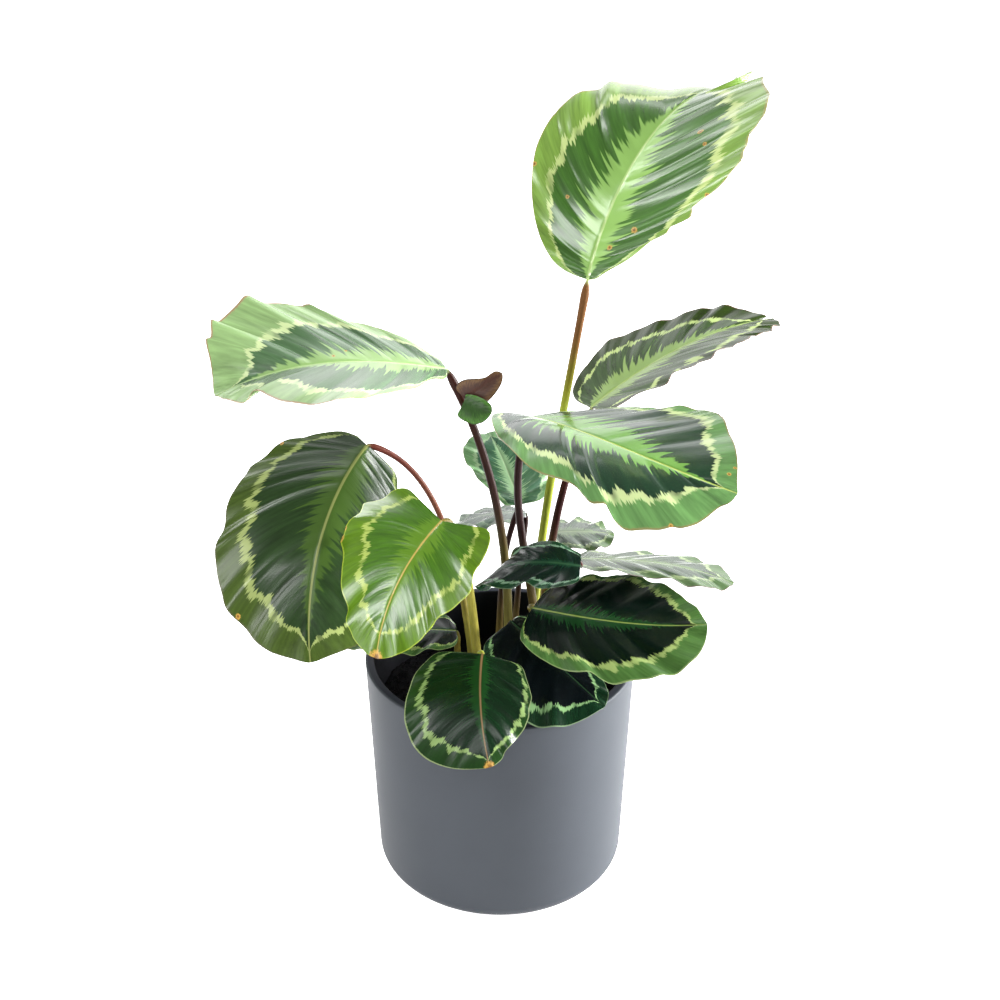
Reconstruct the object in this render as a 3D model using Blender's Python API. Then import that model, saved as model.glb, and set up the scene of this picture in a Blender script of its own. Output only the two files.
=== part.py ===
"""A potted calathea with ringed leaves, in a plain round pot.

Metres, +Z up. The pot stands on z = 0 with its axis on the Z axis, and -Y is the front.
"""

import math
from collections import namedtuple

import bmesh
import bpy
import numpy as np

# The pot
POT_HEIGHT = 0.130
RIM_RADIUS = 0.075
BASE_RADIUS = 0.0706
WALL = 0.005
FLOOR = 0.005
BASE_CORNER = 0.008
RIM_CHAMFER = 0.001
POT_SIDES = 64

# The soil
SOIL_TOP = 0.0985
SOIL_WAVE = 0.0007
GAP = 0.0003
HOLE_ROOM = 0.0005

# The stalks
STALK_SIDES = 8
STALK_RINGS = 12
STALK_FOOT = 0.078
STALK_START = 0.100
STALK_END_BACK = 0.0008
STALK_END_BELOW = 0.0007
STALK_END_RADIUS = 0.0007
STALK_END_TAPER = 0.005
STOUT = (0.0029, 0.0020)
SLIM = (0.0022, 0.0015)

# The blades
BLADE_THICKNESS = 0.0008
RIB_STEPS = 48
ACROSS = (0.0, 0.4, 0.75, 1.0)
LOBE_PLACE = 0.55
LOBE_SPREAD = 0.33
LOBE_AT_BASE = math.exp(-((LOBE_PLACE / LOBE_SPREAD) ** 2))

LEFT, RIGHT = 1, -1

# One leaf. base is where the stalk meets the blade, and foot is where the stalk leaves the soil.
# heading, rise, droop, sweep, roll and twist are degrees. left and right are each half's fold at the
# base and the tip, its curl, and its share of the width at the base and the tip. low and high bow the
# stalk a third and two thirds of the way up. bumps are the margin's own bumps and notches: the half,
# the side vein's place, the spread, and how far it goes out, back towards the base, and up.
Leaf = namedtuple(
    "Leaf",
    "name finish steps base heading rise droop sweep roll twist length width lobe shape"
    " left right wave waves seed foot low high stalk bumps",
)


def new_leaf(name, finish, steps, base, heading, rise, length, width, foot, seed, **more):
    values = dict(
        droop=(5, 15), sweep=0, roll=0, twist=0, lobe=0.05, shape=(0.8, 0.05),
        left=(0, 0, -10), right=(0, 0, -10), wave=0.0015, waves=5,
        low=(0, 0, 0), high=(0, 0, 0), stalk=STOUT, bumps=(),
    )
    values.update(more)
    return Leaf(
        name=name, finish=finish, steps=steps, base=base, heading=heading, rise=rise,
        length=length, width=width, foot=foot, seed=seed, **values,
    )


LEAVES = [
    new_leaf(
        "leaf_top", "light", 32, base=(0.045, 0.030, 0.336), heading=60, rise=62,
        length=0.159, width=0.118, foot=(0.018, 0.012), seed=1,
        droop=(12, 54), sweep=-28, roll=12, lobe=0.03, shape=(1.2, -0.10),
        left=(30, -30, 0, 1.0, 0.76), right=(16, 36, 0, 0.80, 1.02), wave=0.001, waves=6,
        low=(-0.010, 0.004, 0), high=(-0.002, 0.008, 0),
        bumps=(
            (LEFT, 0.65, 0.07, 0.008, 0, 0), (LEFT, 0.84, 0.06, -0.010, 0, 0),
            (RIGHT, 0.12, 0.08, -0.008, 0, 0), (RIGHT, 0.235, 0.014, 0.003, 0, 0),
            (RIGHT, 0.28, 0.020, 0.006, 0, 0), (RIGHT, 0.38, 0.06, 0.008, 0, 0),
            (RIGHT, 0.42, 0.020, 0.003, 0, 0), (RIGHT, 0.49, 0.020, -0.002, 0, 0),
            (RIGHT, 0.52, 0.12, 0.006, 0, 0), (RIGHT, 0.70, 0.04, -0.003, 0, 0),
            (RIGHT, 0.80, 0.020, 0.003, 0, 0.002), (RIGHT, 0.90, 0.020, 0.008, 0, 0.005),
            (RIGHT, 0.965, 0.015, 0.006, 0, 0.005),
        ),
    ),
    new_leaf(
        "leaf_left_high", "light", 32, base=(-0.027, -0.010, 0.302), heading=203, rise=16,
        length=0.118, width=0.104, foot=(0.003, 0.000), seed=2,
        droop=(4, 36), twist=-28, lobe=0.02, shape=(1.15, -0.16),
        left=(-20, 28, -5, 0.6, 1.0), right=(12, 14, -5, 0.9, 1.15), wave=0.0008,
        low=(0.014, 0, 0), high=(0.022, 0.003, 0),
        bumps=(
            (LEFT, 0.18, 0.06, -0.006, 0, 0), (LEFT, 0.52, 0.09, 0.008, 0, 0),
            (LEFT, 0.71, 0.04, -0.014, 0, 0.002), (LEFT, 0.82, 0.06, -0.007, 0, 0),
            (LEFT, 0.92, 0.05, -0.004, 0, 0), (RIGHT, 0.37, 0.05, -0.004, 0, 0),
            (RIGHT, 0.43, 0.018, 0.002, 0, 0.001), (RIGHT, 0.60, 0.030, 0.003, 0, 0.002),
            (RIGHT, 0.755, 0.018, 0.006, 0, 0), (RIGHT, 0.82, 0.020, 0.006, 0, 0),
            (RIGHT, 0.88, 0.06, -0.004, 0, 0),
        ),
    ),
    new_leaf(
        "leaf_right_mid", "light", 32, base=(0.0156, 0.005, 0.270), heading=303, rise=14,
        length=0.125, width=0.114, foot=(0.015, -0.004), seed=3,
        droop=(30, 5), sweep=34, roll=10, twist=5, lobe=0.01, shape=(0.9, 0.0),
        left=(-14, 0, -6, 1.14, 1.06), right=(34, -2, -25, 0.92, 0.90), wave=0.0008,
        low=(0.018, 0, 0), high=(-0.020, 0, 0),
        bumps=(
            (LEFT, 0.58, 0.15, 0.007, 0, 0), (LEFT, 0.90, 0.06, -0.003, 0, 0),
            (RIGHT, 0.45, 0.05, -0.008, 0, 0), (RIGHT, 0.535, 0.020, -0.005, 0, 0),
            (RIGHT, 0.60, 0.030, 0.003, 0, 0), (RIGHT, 0.70, 0.020, -0.002, 0, 0),
            (RIGHT, 0.84, 0.05, -0.006, 0, 0),
        ),
    ),
    new_leaf(
        "leaf_right_high", "dark", 32, base=(0.050, 0.045, 0.259), heading=34, rise=27,
        length=0.140, width=0.078, foot=(0.026, 0.016), seed=4,
        droop=(14, 20), twist=30, left=(2, -8, 0, 1.0, 0.78), right=(18, 20, 0),
        wave=0.0008, waves=8, low=(-0.012, 0, 0), high=(-0.013, 0, 0),
        bumps=(
            (LEFT, 0.10, 0.05, -0.004, 0, 0), (LEFT, 0.32, 0.07, 0.007, 0, 0),
            (LEFT, 0.42, 0.05, 0.003, 0, 0), (LEFT, 0.86, 0.10, -0.007, 0, 0),
            (RIGHT, 0.24, 0.025, 0.006, 0, 0), (RIGHT, 0.32, 0.025, 0.004, 0, 0),
            (RIGHT, 0.37, 0.020, 0.004, 0, 0), (RIGHT, 0.48, 0.030, -0.003, 0, 0),
            (RIGHT, 0.60, 0.07, -0.010, 0, 0), (RIGHT, 0.75, 0.08, -0.010, 0, 0),
        ),
    ),
    new_leaf(
        "leaf_left_large", "dark", 32, base=(-0.069, -0.002, 0.257), heading=240, rise=-20,
        length=0.121, width=0.130, foot=(-0.013, 0.004), seed=5,
        droop=(25, 25), sweep=18, shape=(0.72, 0.10),
        left=(-58, -33, -30), right=(-2, -6, -5), wave=0.001, waves=6,
        low=(0.012, 0, 0.005), high=(0.026, 0.022, 0.030), stalk=SLIM,
        bumps=(
            (LEFT, 0.05, 0.05, -0.004, 0.003, 0), (LEFT, 0.12, 0.06, -0.010, 0, 0),
            (LEFT, 0.88, 0.06, -0.004, 0, 0), (RIGHT, 0.03, 0.04, 0, 0.006, 0),
            (RIGHT, 0.12, 0.020, -0.003, 0, 0), (RIGHT, 0.24, 0.020, 0.003, 0, 0),
            (RIGHT, 0.42, 0.05, -0.002, 0, 0), (RIGHT, 0.72, 0.06, -0.003, 0, 0),
        ),
    ),
    new_leaf(
        "leaf_left_bright", "bright", 22, base=(-0.0278, -0.0705, 0.2472), heading=208, rise=-38,
        length=0.074, width=0.083, foot=(-0.011, -0.009), seed=6,
        droop=(12, 18), sweep=25, roll=-16, lobe=0.06, shape=(0.5, 0.18),
        left=(5, 0, -10, 1.0, 0.65), right=(0, 0, -10, 1.1, 0.82), wave=0.0008,
        low=(0.004, 0, 0.010), high=(0.006, 0.010, 0.030),
        bumps=(
            (LEFT, 0.06, 0.06, -0.002, 0.011, 0), (LEFT, 0.19, 0.05, -0.003, 0, 0),
            (LEFT, 0.50, 0.05, -0.003, 0, 0), (RIGHT, 0.10, 0.07, -0.005, 0, 0),
            (RIGHT, 0.20, 0.020, -0.002, 0, 0), (RIGHT, 0.255, 0.020, 0.005, 0, 0),
            (RIGHT, 0.36, 0.08, 0.008, 0, 0), (RIGHT, 0.41, 0.020, 0.004, 0, 0),
            (RIGHT, 0.64, 0.06, -0.004, 0, 0), (RIGHT, 0.74, 0.04, -0.002, 0, 0),
        ),
    ),
    new_leaf(
        "leaf_front_small", "dark", 22, base=(-0.009, -0.062, 0.1675), heading=263, rise=-25,
        length=0.059, width=0.077, foot=(-0.009, -0.020), seed=7,
        droop=(15, 20), sweep=18, lobe=0.06, shape=(0.7, 0.0),
        left=(-18, -18, -20, 0.86, 0.52), right=(0, 0, -8, 1.0, 1.0), wave=0.0008,
        low=(-0.004, 0, 0.010), high=(-0.004, 0, 0.016), stalk=SLIM,
        bumps=((LEFT, 0.74, 0.08, -0.004, 0, 0),),
    ),
    new_leaf(
        "leaf_right_dark", "dark", 24, base=(0.017, -0.030, 0.176), heading=336, rise=1,
        length=0.092, width=0.088, foot=(0.016, -0.014), seed=8,
        droop=(8, -8), sweep=25, roll=8, lobe=0.03, shape=(0.72, 0.05),
        left=(-5, -5, 0), right=(-5, -5, 0, 0.9, 0.98), wave=0.001,
        low=(0.002, 0.008, 0), high=(0.003, 0.030, 0.010),
        bumps=(
            (LEFT, 0.50, 0.15, 0.003, 0, 0), (RIGHT, 0.39, 0.025, -0.002, 0, 0),
            (RIGHT, 0.47, 0.030, 0.002, 0, 0), (RIGHT, 0.62, 0.020, -0.001, 0, 0),
        ),
    ),
    new_leaf(
        "leaf_right_narrow", "dark", 22, base=(0.0412, 0.005, 0.1865), heading=355, rise=3,
        length=0.087, width=0.055, foot=(0.034, 0.012), seed=9,
        droop=(3, 22), roll=-14, twist=15, shape=(0.75, 0.05),
        right=(0, 0, -10, 0.85, 0.85), wave=0.001,
        low=(0, 0.003, 0), high=(0, 0.003, 0), stalk=SLIM,
    ),
    new_leaf(
        "leaf_center_small", "dark", 18, base=(0.042, -0.0255, 0.1985), heading=186, rise=14,
        length=0.063, width=0.030, foot=(0.024, 0.004), seed=10,
        droop=(20, 75), roll=-38, twist=90, left=(-5, -5, -15), right=(-5, -5, -15),
        wave=0.001, waves=4,
        low=(-0.005, 0.0107, 0.0073), high=(-0.002, 0.0273, 0.0307), stalk=SLIM,
        bumps=((LEFT, 0.42, 0.05, -0.004, 0, 0),),
    ),
    new_leaf(
        "leaf_back_pale", "light", 18, base=(0.011, 0.035, 0.205), heading=112, rise=38,
        length=0.054, width=0.048, foot=(-0.004, 0.014), seed=11,
        droop=(5, 20), left=(5, 5, -10, 0.55, 1.15), right=(5, 5, -10), wave=0.001,
        low=(0.002, 0, 0), high=(-0.010, 0, 0), stalk=SLIM,
    ),
    new_leaf(
        "leaf_back_right", "light", 16, base=(0.0305, 0.051, 0.179), heading=5, rise=4,
        length=0.036, width=0.040, foot=(0.016, 0.025), seed=12,
        droop=(8, 8), waves=4, stalk=SLIM,
    ),
    new_leaf(
        "leaf_back_left", "light", 16, base=(0.0145, 0.055, 0.190), heading=182, rise=4,
        length=0.042, width=0.036, foot=(0.006, 0.026), seed=13,
        droop=(10, 20), roll=10, waves=4, stalk=SLIM,
    ),
    new_leaf(
        "leaf_rim_dark", "dark", 22, base=(0.006, -0.022, 0.163), heading=321, rise=-24,
        length=0.068, width=0.078, foot=(0.003, -0.019), seed=14,
        droop=(2, -2), roll=8, shape=(0.7, -0.08),
        left=(0, 0, -5, 0.4, 0.4), right=(-3, -3, -5), wave=0.001, stalk=SLIM,
    ),
    new_leaf(
        "leaf_inner_left", "dark", 18, base=(-0.024, -0.010, 0.150), heading=186, rise=8,
        length=0.066, width=0.044, foot=(-0.023, -0.006), seed=16,
        droop=(5, 12), stalk=SLIM,
    ),
]

# Two curled lobes at the top of the left high leaf's stalk, with no stalk of their own
LOBES = [
    new_leaf(
        "lobe_purple", "purple", 12, base=(-0.0175, -0.0120, 0.2862), heading=5, rise=36,
        length=0.023, width=0.022, foot=None, seed=17, droop=(0, 0), roll=-80,
        lobe=0.08, shape=(0.75, 0.10), left=(-8, -8, -30, 0.8, 0.5),
        right=(20, 20, -20, 1.1, 0.5), wave=0.0004, waves=2,
        bumps=((RIGHT, 0.50, 0.20, -0.004, 0, 0),),
    ),
    new_leaf(
        "lobe_green", "bright", 12, base=(-0.0180, -0.0146, 0.2865), heading=352, rise=-22,
        length=0.0150, width=0.020, foot=None, seed=18, droop=(0, 0), roll=75,
        lobe=0.10, shape=(0.6, 0.05), left=(-10, -10, -30, 0.5, 0.5),
        right=(10, 10, -30, 1.1, 0.8), wave=0.0004, waves=2,
    ),
]

# Linear colours and roughness
FINISHES = {
    "pot": ((0.12, 0.14, 0.165), 0.55),
    "soil": ((0.012, 0.010, 0.009), 0.95),
    "light": ((0.17, 0.30, 0.09), 0.38),
    "bright": ((0.26, 0.36, 0.06), 0.35),
    "dark": ((0.035, 0.075, 0.035), 0.38),
    "purple": ((0.10, 0.045, 0.035), 0.5),
    "stalk": ((0.10, 0.06, 0.035), 0.45),
}


def rotated(a, b, angle):
    """a turned towards b and b away from a, both unit vectors and square to each other."""
    c, s = math.cos(angle), math.sin(angle)
    return a * c + b * s, b * c - a * s


def midrib(leaf):
    """Points, tangents, lefts and ups at RIB_STEPS + 1 even stations along the midrib."""
    h, p = math.radians(leaf.heading), math.radians(leaf.rise)
    tangent = np.array([math.cos(p) * math.cos(h), math.cos(p) * math.sin(h), math.sin(p)])
    up = np.array([-math.sin(p) * math.cos(h), -math.sin(p) * math.sin(h), math.cos(p)])
    left, up = rotated(np.cross(up, tangent), up, math.radians(leaf.roll))
    point = np.array(leaf.base)
    rows = [(point, tangent, left, up)]
    for i in range(RIB_STEPS):
        u = (i + 0.5) / RIB_STEPS
        bend = 2 * (leaf.droop[0] * (1 - u) + leaf.droop[1] * u) / RIB_STEPS
        up, tangent = rotated(up, tangent, math.radians(bend))
        tangent, left = rotated(tangent, left, math.radians(leaf.sweep / RIB_STEPS))
        left, up = rotated(left, up, math.radians(3 * leaf.twist * u**2 / RIB_STEPS))
        point = point + tangent * leaf.length / RIB_STEPS
        rows.append((point, tangent, left, up))
    return [np.array(column) for column in zip(*rows)]


def outline(leaf, theta):
    """The flat blade's margin, as distance along and out; theta is 0 at the base and pi at the tip."""
    lobe = leaf.lobe * (np.exp(-(((theta - LOBE_PLACE) / LOBE_SPREAD) ** 2)) - LOBE_AT_BASE)
    along = leaf.length * (0.5 - 0.5 * np.cos(theta) - lobe)
    power = leaf.shape[0] + (1.45 - leaf.shape[0]) * (theta / math.pi) ** 5
    half = 0.5 * leaf.width * np.sin(theta) ** power * (1 + leaf.shape[1] * np.cos(theta))
    return along, half


def vein_point(leaf, s, t):
    """The flat point a share t of the way out along side vein s, 0 at the base and 1 at the tip."""
    start = leaf.length * s**1.8
    along, half = outline(leaf, math.pi * s**0.85)
    return start + (along - start) * t**1.35, half * t**0.95


def ripple(leaf, s, t, side):
    """The margin's waves, which fade out towards the midrib."""
    phase = 0.37 * leaf.seed + (0.0 if side > 0 else 0.45)
    swell = np.sin(math.pi * s) ** 0.5
    main = np.sin(2 * math.pi * (leaf.waves * s + phase))
    other = 0.5 * np.sin(2 * math.pi * (leaf.waves * 1.7 * s + 2.3 * phase + 0.2))
    return leaf.wave * swell * t**2 * (main + other)


def bumped(leaf, s, t, side):
    """How far the margin's own bumps and notches push a point out, back towards the base, and up."""
    out = back = lift = 0 * s
    for half, place, spread, further, behind, higher in leaf.bumps:
        if half == side:
            swell = np.exp(-(((s - place) / spread) ** 2))
            out = out + further * swell * t
            back = back + behind * swell * t
            lift = lift + higher * swell * t**2
    return out, back, lift


def blade_points(leaf, s, t, side):
    """Points of the blade's middle surface. side is 1 for the left half and -1 for the right."""
    x, y = vein_point(leaf, s, t)
    half = leaf.left if side > 0 else leaf.right
    station = np.clip(x / leaf.length, 0, 1)
    if len(half) > 3:
        y = y * (half[3] + (half[4] - half[3]) * station)
    further, behind, higher = bumped(leaf, s, t, side)
    x = x - behind
    y = y + further
    middle, ahead, left, up = (
        np.stack([np.interp(station * RIB_STEPS, range(RIB_STEPS + 1), row) for row in column.T], -1)
        for column in midrib(leaf)
    )
    middle = middle + ahead * (np.minimum(x, 0) + np.maximum(x - leaf.length, 0))[..., None]
    reach = 0.5 * leaf.width
    fold = np.radians(half[0] + (half[1] - half[0]) * station)
    curl = np.radians(half[2]) or 1e-4
    turn = fold + curl * y / reach
    out = reach / curl * (np.sin(turn) - np.sin(fold))
    lift = reach / curl * (np.cos(fold) - np.cos(turn))
    normal = np.cos(turn)[..., None] * up - np.sin(turn)[..., None] * left * side
    flat = middle + left * side * out[..., None] + up * lift[..., None]
    return flat + normal * (ripple(leaf, s, t, side) + higher)[..., None]


def bezier(points, count):
    a, b, c, d = points
    t = np.linspace(0, 1, count)[:, None]
    return (1 - t) ** 3 * a + 3 * (1 - t) ** 2 * t * b + 3 * (1 - t) * t**2 * c + t**3 * d


def stalk_line(leaf):
    """The stalk's centre line from its foot in the soil to just behind and below the blade's base."""
    start = np.array([*leaf.foot, STALK_START])
    base, ahead, _, up = (row[0] for row in midrib(leaf))
    way = base - start
    bows = start + way / 3 + leaf.low, start + way * 2 / 3 + leaf.high
    top = base - ahead * STALK_END_BACK - up * STALK_END_BELOW
    fine = bezier((start, *bows, top), 400)
    travelled = np.append(0, np.cumsum(np.linalg.norm(np.diff(fine, axis=0), axis=1)))
    end = travelled[-1]
    stops = [*np.linspace(0, end - STALK_END_TAPER, STALK_RINGS), end - 0.3 * STALK_END_TAPER, end]
    curve = np.stack([np.interp(stops, travelled, row) for row in fine.T], -1)
    return np.vstack([[*leaf.foot, STALK_FOOT], curve])


def stalk_radii(leaf, count):
    """Radii from the foot to the top, with two rings that taper to the blade."""
    foot, top = leaf.stalk
    body = [top + (foot - top) * (1 - i / (count - 3)) ** 1.5 for i in range(count - 2)]
    return [*body, 0.8 * top, STALK_END_RADIUS]


def finish_material(node, finish):
    colour, roughness = FINISHES[finish]
    material = bpy.data.materials.new(node)
    material.use_nodes = True
    shader = material.node_tree.nodes["Principled BSDF"]
    shader.inputs["Base Color"].default_value = (*colour, 1.0)
    shader.inputs["Roughness"].default_value = roughness
    shader.inputs["Metallic"].default_value = 0.0
    material.diffuse_color = (*colour, 1.0)
    return material


def add_object(name, mesh, finish):
    """An object in the scene made of a bmesh, with its own material."""
    data = bpy.data.meshes.new(name)
    mesh.to_mesh(data)
    mesh.free()
    data.materials.append(finish_material(name, finish))
    made = bpy.data.objects.new(name, data)
    bpy.context.collection.objects.link(made)
    return made


def outer_radius(z):
    return BASE_RADIUS + (RIM_RADIUS - BASE_RADIUS) * z / POT_HEIGHT


def turned(profile):
    """A closed body: the profile of (radius, height) points spun round the Z axis."""
    mesh = bmesh.new()
    line = [mesh.verts.new((radius, 0, height)) for radius, height in profile]
    edges = [mesh.edges.new(pair) for pair in zip(line, line[1:])]
    bmesh.ops.spin(
        mesh, geom=line + edges, cent=(0, 0, 0), axis=(0, 0, 1),
        angle=2 * math.pi, steps=POT_SIDES, use_merge=True,
    )
    bmesh.ops.remove_doubles(mesh, verts=mesh.verts, dist=1e-6)
    bmesh.ops.recalc_face_normals(mesh, faces=mesh.faces)
    return mesh


def add_pot():
    low = BASE_CORNER
    corner = [
        (
            outer_radius(low) - low * (1 - math.sin(angle)),
            low * (1 - math.cos(angle)),
        )
        for angle in np.linspace(0, math.pi / 2, 5)
    ]
    inner_rim = RIM_RADIUS - WALL
    profile = [
        (0, 0),
        *corner,
        (outer_radius(POT_HEIGHT - RIM_CHAMFER), POT_HEIGHT - RIM_CHAMFER),
        (RIM_RADIUS - RIM_CHAMFER, POT_HEIGHT),
        (inner_rim + RIM_CHAMFER, POT_HEIGHT),
        (inner_rim, POT_HEIGHT - RIM_CHAMFER),
        (outer_radius(FLOOR) - WALL, FLOOR),
        (0, FLOOR),
    ]
    add_object("pot", turned(profile), "pot")


def add_soil():
    """The soil fills the pot below the leaves, with a plain hole for each stalk."""
    bottom = FLOOR + GAP
    profile = [
        (0, bottom),
        (outer_radius(bottom) - WALL - GAP, bottom),
        (outer_radius(SOIL_TOP) - WALL - GAP, SOIL_TOP),
        (0.052, SOIL_TOP),
        (0.034, SOIL_TOP),
        (0.016, SOIL_TOP),
        (0, SOIL_TOP),
    ]
    mesh = turned(profile)
    for vert in mesh.verts:
        x, y, z = vert.co
        if z > SOIL_TOP - 1e-5 and math.hypot(x, y) < 0.06:
            vert.co.z += SOIL_WAVE * (math.sin(90 * x + 1) + math.cos(110 * y + 60 * x))
    soil = add_object("soil", mesh, "soil")
    holes = bmesh.new()
    for leaf in LEAVES:
        radius = leaf.stalk[0] + HOLE_ROOM
        bottom = STALK_FOOT - GAP
        made = bmesh.ops.create_cone(
            holes, cap_ends=True, segments=12, radius1=radius, radius2=radius,
            depth=POT_HEIGHT - bottom,
        )
        middle = (*leaf.foot, (POT_HEIGHT + bottom) / 2)
        bmesh.ops.translate(holes, verts=made["verts"], vec=middle)
    cutter = add_object("stalk_holes", holes, "soil")
    cutter.hide_render = True
    cutter.display_type = "WIRE"
    cut = soil.modifiers.new("Stalk holes", "BOOLEAN")
    cut.object = cutter
    cut.operation = "DIFFERENCE"
    cut.solver = "EXACT"


def add_blade(leaf, name):
    """A blade: its middle surface in triangles, alike on both faces once it is made solid."""
    mesh = bmesh.new()
    s = np.linspace(0, 1, leaf.steps + 1)
    rib = [mesh.verts.new(p) for p in blade_points(leaf, s, 0 * s, 1)]
    for side in (1, -1):
        grid = np.meshgrid(s[1:-1], ACROSS[1:], indexing="ij")
        inner = [[mesh.verts.new(p) for p in row] for row in blade_points(leaf, *grid, side)]
        ends = len(ACROSS)
        columns = [[rib[0]] * ends]
        columns += [[middle, *row] for middle, row in zip(rib[1:-1], inner)]
        columns += [[rib[-1]] * ends]
        for near, far in zip(columns, columns[1:]):
            for j in range(ends - 1):
                for corners in (
                    (near[j], far[j], far[j + 1]),
                    (near[j], far[j + 1], near[j + 1]),
                ):
                    if len(set(corners)) == 3:
                        mesh.faces.new(corners if side > 0 else corners[::-1])
    made = add_object(name, mesh, leaf.finish)
    thicken = made.modifiers.new("Thickness", "SOLIDIFY")
    thicken.thickness = BLADE_THICKNESS
    thicken.offset = 0
    return made


def add_stalk(leaf):
    """A tapering round stalk swept along its centre line."""
    mesh = bmesh.new()
    line = stalk_line(leaf)
    radii = stalk_radii(leaf, len(line))
    directions = np.gradient(line, axis=0)
    directions[0] = directions[1] = (0, 0, 1)
    directions /= np.linalg.norm(directions, axis=1)[:, None]
    side = np.array([1.0, 0, 0])
    rings = []
    for middle, direction, radius in zip(line, directions, radii):
        side = side - direction * side.dot(direction)
        side /= np.linalg.norm(side)
        other = np.cross(direction, side)
        turns = 2 * math.pi * np.arange(STALK_SIDES) / STALK_SIDES
        ring = [middle + radius * (math.cos(a) * side + math.sin(a) * other) for a in turns]
        rings.append([mesh.verts.new(p) for p in ring])
    mesh.faces.new(rings[0][::-1])
    mesh.faces.new(rings[-1])
    for lower, upper in zip(rings, rings[1:]):
        for j in range(STALK_SIDES):
            k = (j + 1) % STALK_SIDES
            mesh.faces.new((lower[j], lower[k], upper[k], upper[j]))
    add_object(leaf.name + "_stalk", mesh, "stalk")


def main():
    for old in list(bpy.data.objects):
        bpy.data.objects.remove(old)
    add_pot()
    add_soil()
    for leaf in LEAVES:
        add_blade(leaf, leaf.name + "_blade")
        add_stalk(leaf)
    for lobe in LOBES:
        add_blade(lobe, lobe.name)


main()
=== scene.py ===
"""The looks of a potted calathea: fine blades, stalks, soil and pot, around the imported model.

Metres, +Z up. The pot stands on z = 0 with its axis on the Z axis, and -Y is the front.
"""

import math
from collections import namedtuple

import bmesh
import bpy
import numpy as np
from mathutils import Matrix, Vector, noise


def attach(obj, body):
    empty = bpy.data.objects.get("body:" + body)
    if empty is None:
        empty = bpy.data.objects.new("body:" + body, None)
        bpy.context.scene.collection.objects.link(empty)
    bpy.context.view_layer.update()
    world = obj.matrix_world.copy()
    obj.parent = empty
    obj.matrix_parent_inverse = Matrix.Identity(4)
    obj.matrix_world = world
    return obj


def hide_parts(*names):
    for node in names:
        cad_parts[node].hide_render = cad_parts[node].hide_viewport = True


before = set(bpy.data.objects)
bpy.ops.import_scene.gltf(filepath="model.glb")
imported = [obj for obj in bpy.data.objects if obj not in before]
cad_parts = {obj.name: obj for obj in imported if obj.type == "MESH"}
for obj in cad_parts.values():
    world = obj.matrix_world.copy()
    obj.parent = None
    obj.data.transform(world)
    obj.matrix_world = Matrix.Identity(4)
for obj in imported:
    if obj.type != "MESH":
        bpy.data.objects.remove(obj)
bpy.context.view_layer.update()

# The camera
CAMERA_PLACE = (0.0, -0.669, 0.545)
CAMERA_PITCH = 25.6
CAMERA_LENS = 50.4
SENSOR_WIDTH = 36.0

# The studio
FLOOR_REACH = 12.0
FLOOR_SHADE = (0.9, 0.9, 0.9, 1.0)
FLOOR_GLOW = 1.0
SKY_GLOW = 0.16
WHITE = (1, 1, 1, 1)
AIM = (0, 0, 0.2)

# The soft lights: place, the point that it faces, width and height, and power in watts
LIGHTS = {
    "pale wall": ((0.2, 2.6, 1.15), AIM, (4.4, 1.5), 33),
    "high back softbox": ((-0.4, 1.6, 2.1), AIM, (2.2, 0.35), 7),
    "high left strip light": ((-1.0, 0.75, 1.95), (0.06, 0.05, 0.4), (0.22, 1.6), 10),
    "left back window": ((-1.6, 1.1, 1.2), AIM, (0.40, 0.7), 12),
    "left strip light": ((-1.9, -0.4, 0.75), AIM, (0.30, 0.9), 19),
    "left front softbox": ((-1.3, -1.1, 1.9), AIM, (0.7, 0.7), 22),
    "front softbox": ((0.4, -1.9, 1.8), AIM, (1.5, 0.9), 31),
    "right softbox": ((2.0, 0.3, 0.5), (0, 0, 0.1), (0.8, 1.2), 222),
}

# The pot
POT_HEIGHT = 0.130
RIM_RADIUS = 0.075
BASE_RADIUS = 0.0706
WALL = 0.005
FLOOR = 0.005
BASE_CORNER = 0.008
LIP_ROUND = 0.0009
POT_SIDES = 192
POT_GLAZE = (51, 55, 61)
LIP_GLAZE = (22, 26, 38)
# Painted shade: the inside of the pot is coloured nearly black for the shadow that fills it
INSIDE_PAINTED_SHADE = (3, 4, 9)

# The soil
SOIL_TOP = 0.0985
SOIL_WAVE = 0.0007
SOIL_RINGS = 56
SOIL_SECTORS = 168
GAP = 0.0003
GRAINS_PER_AREA = 300000
GRAIN_SIZE = (0.0006, 0.0021)
GRAIN_SHARES = (0.55, 0.40, 0.28)

# The stalks
STALK_SIDES = 20
STALK_RINGS = 64
STALK_FOOT = 0.080
STALK_START = 0.100
STALK_END_BACK = 0.0008
STALK_END_BELOW = 0.0007
SHEATH_SWELL = 0.40
SHEATH_LENGTH = 0.030
JOINT_SWELL = 0.14
JOINT_LENGTH = 0.011
STALK_END_RADIUS = 0.0008
STALK_END_SLOPE = 0.30

# Where the stalk runs out under the midrib: how far along, how far below, and its radius
RIB_RUN = ((0.003, 0.0010, 0.0007), (0.007, 0.0009, 0.0005), (0.012, 0.0006, 0.0002))

STOUT = (0.0029, 0.0020)
SLIM = (0.0022, 0.0015)

# The blades
RIB_STEPS = 48
ROWS_PER_METRE = 950
COLUMNS = 30
COLUMN_CROWDING = 1.45
MIDDLE_THICKNESS = 0.00060
MARGIN_THICKNESS = 0.00030
RIB_HEIGHT = 0.0010
RIB_WIDTH = 0.0013
GROOVE_DEPTH = 0.00025
GROOVE_WIDTH = 0.0009
PLEAT_HEIGHT = 0.00105
PLEAT_SPACING = 0.0125
LOBE_PLACE = 0.55
LOBE_SPREAD = 0.33
LOBE_AT_BASE = math.exp(-((LOBE_PLACE / LOBE_SPREAD) ** 2))

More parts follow.
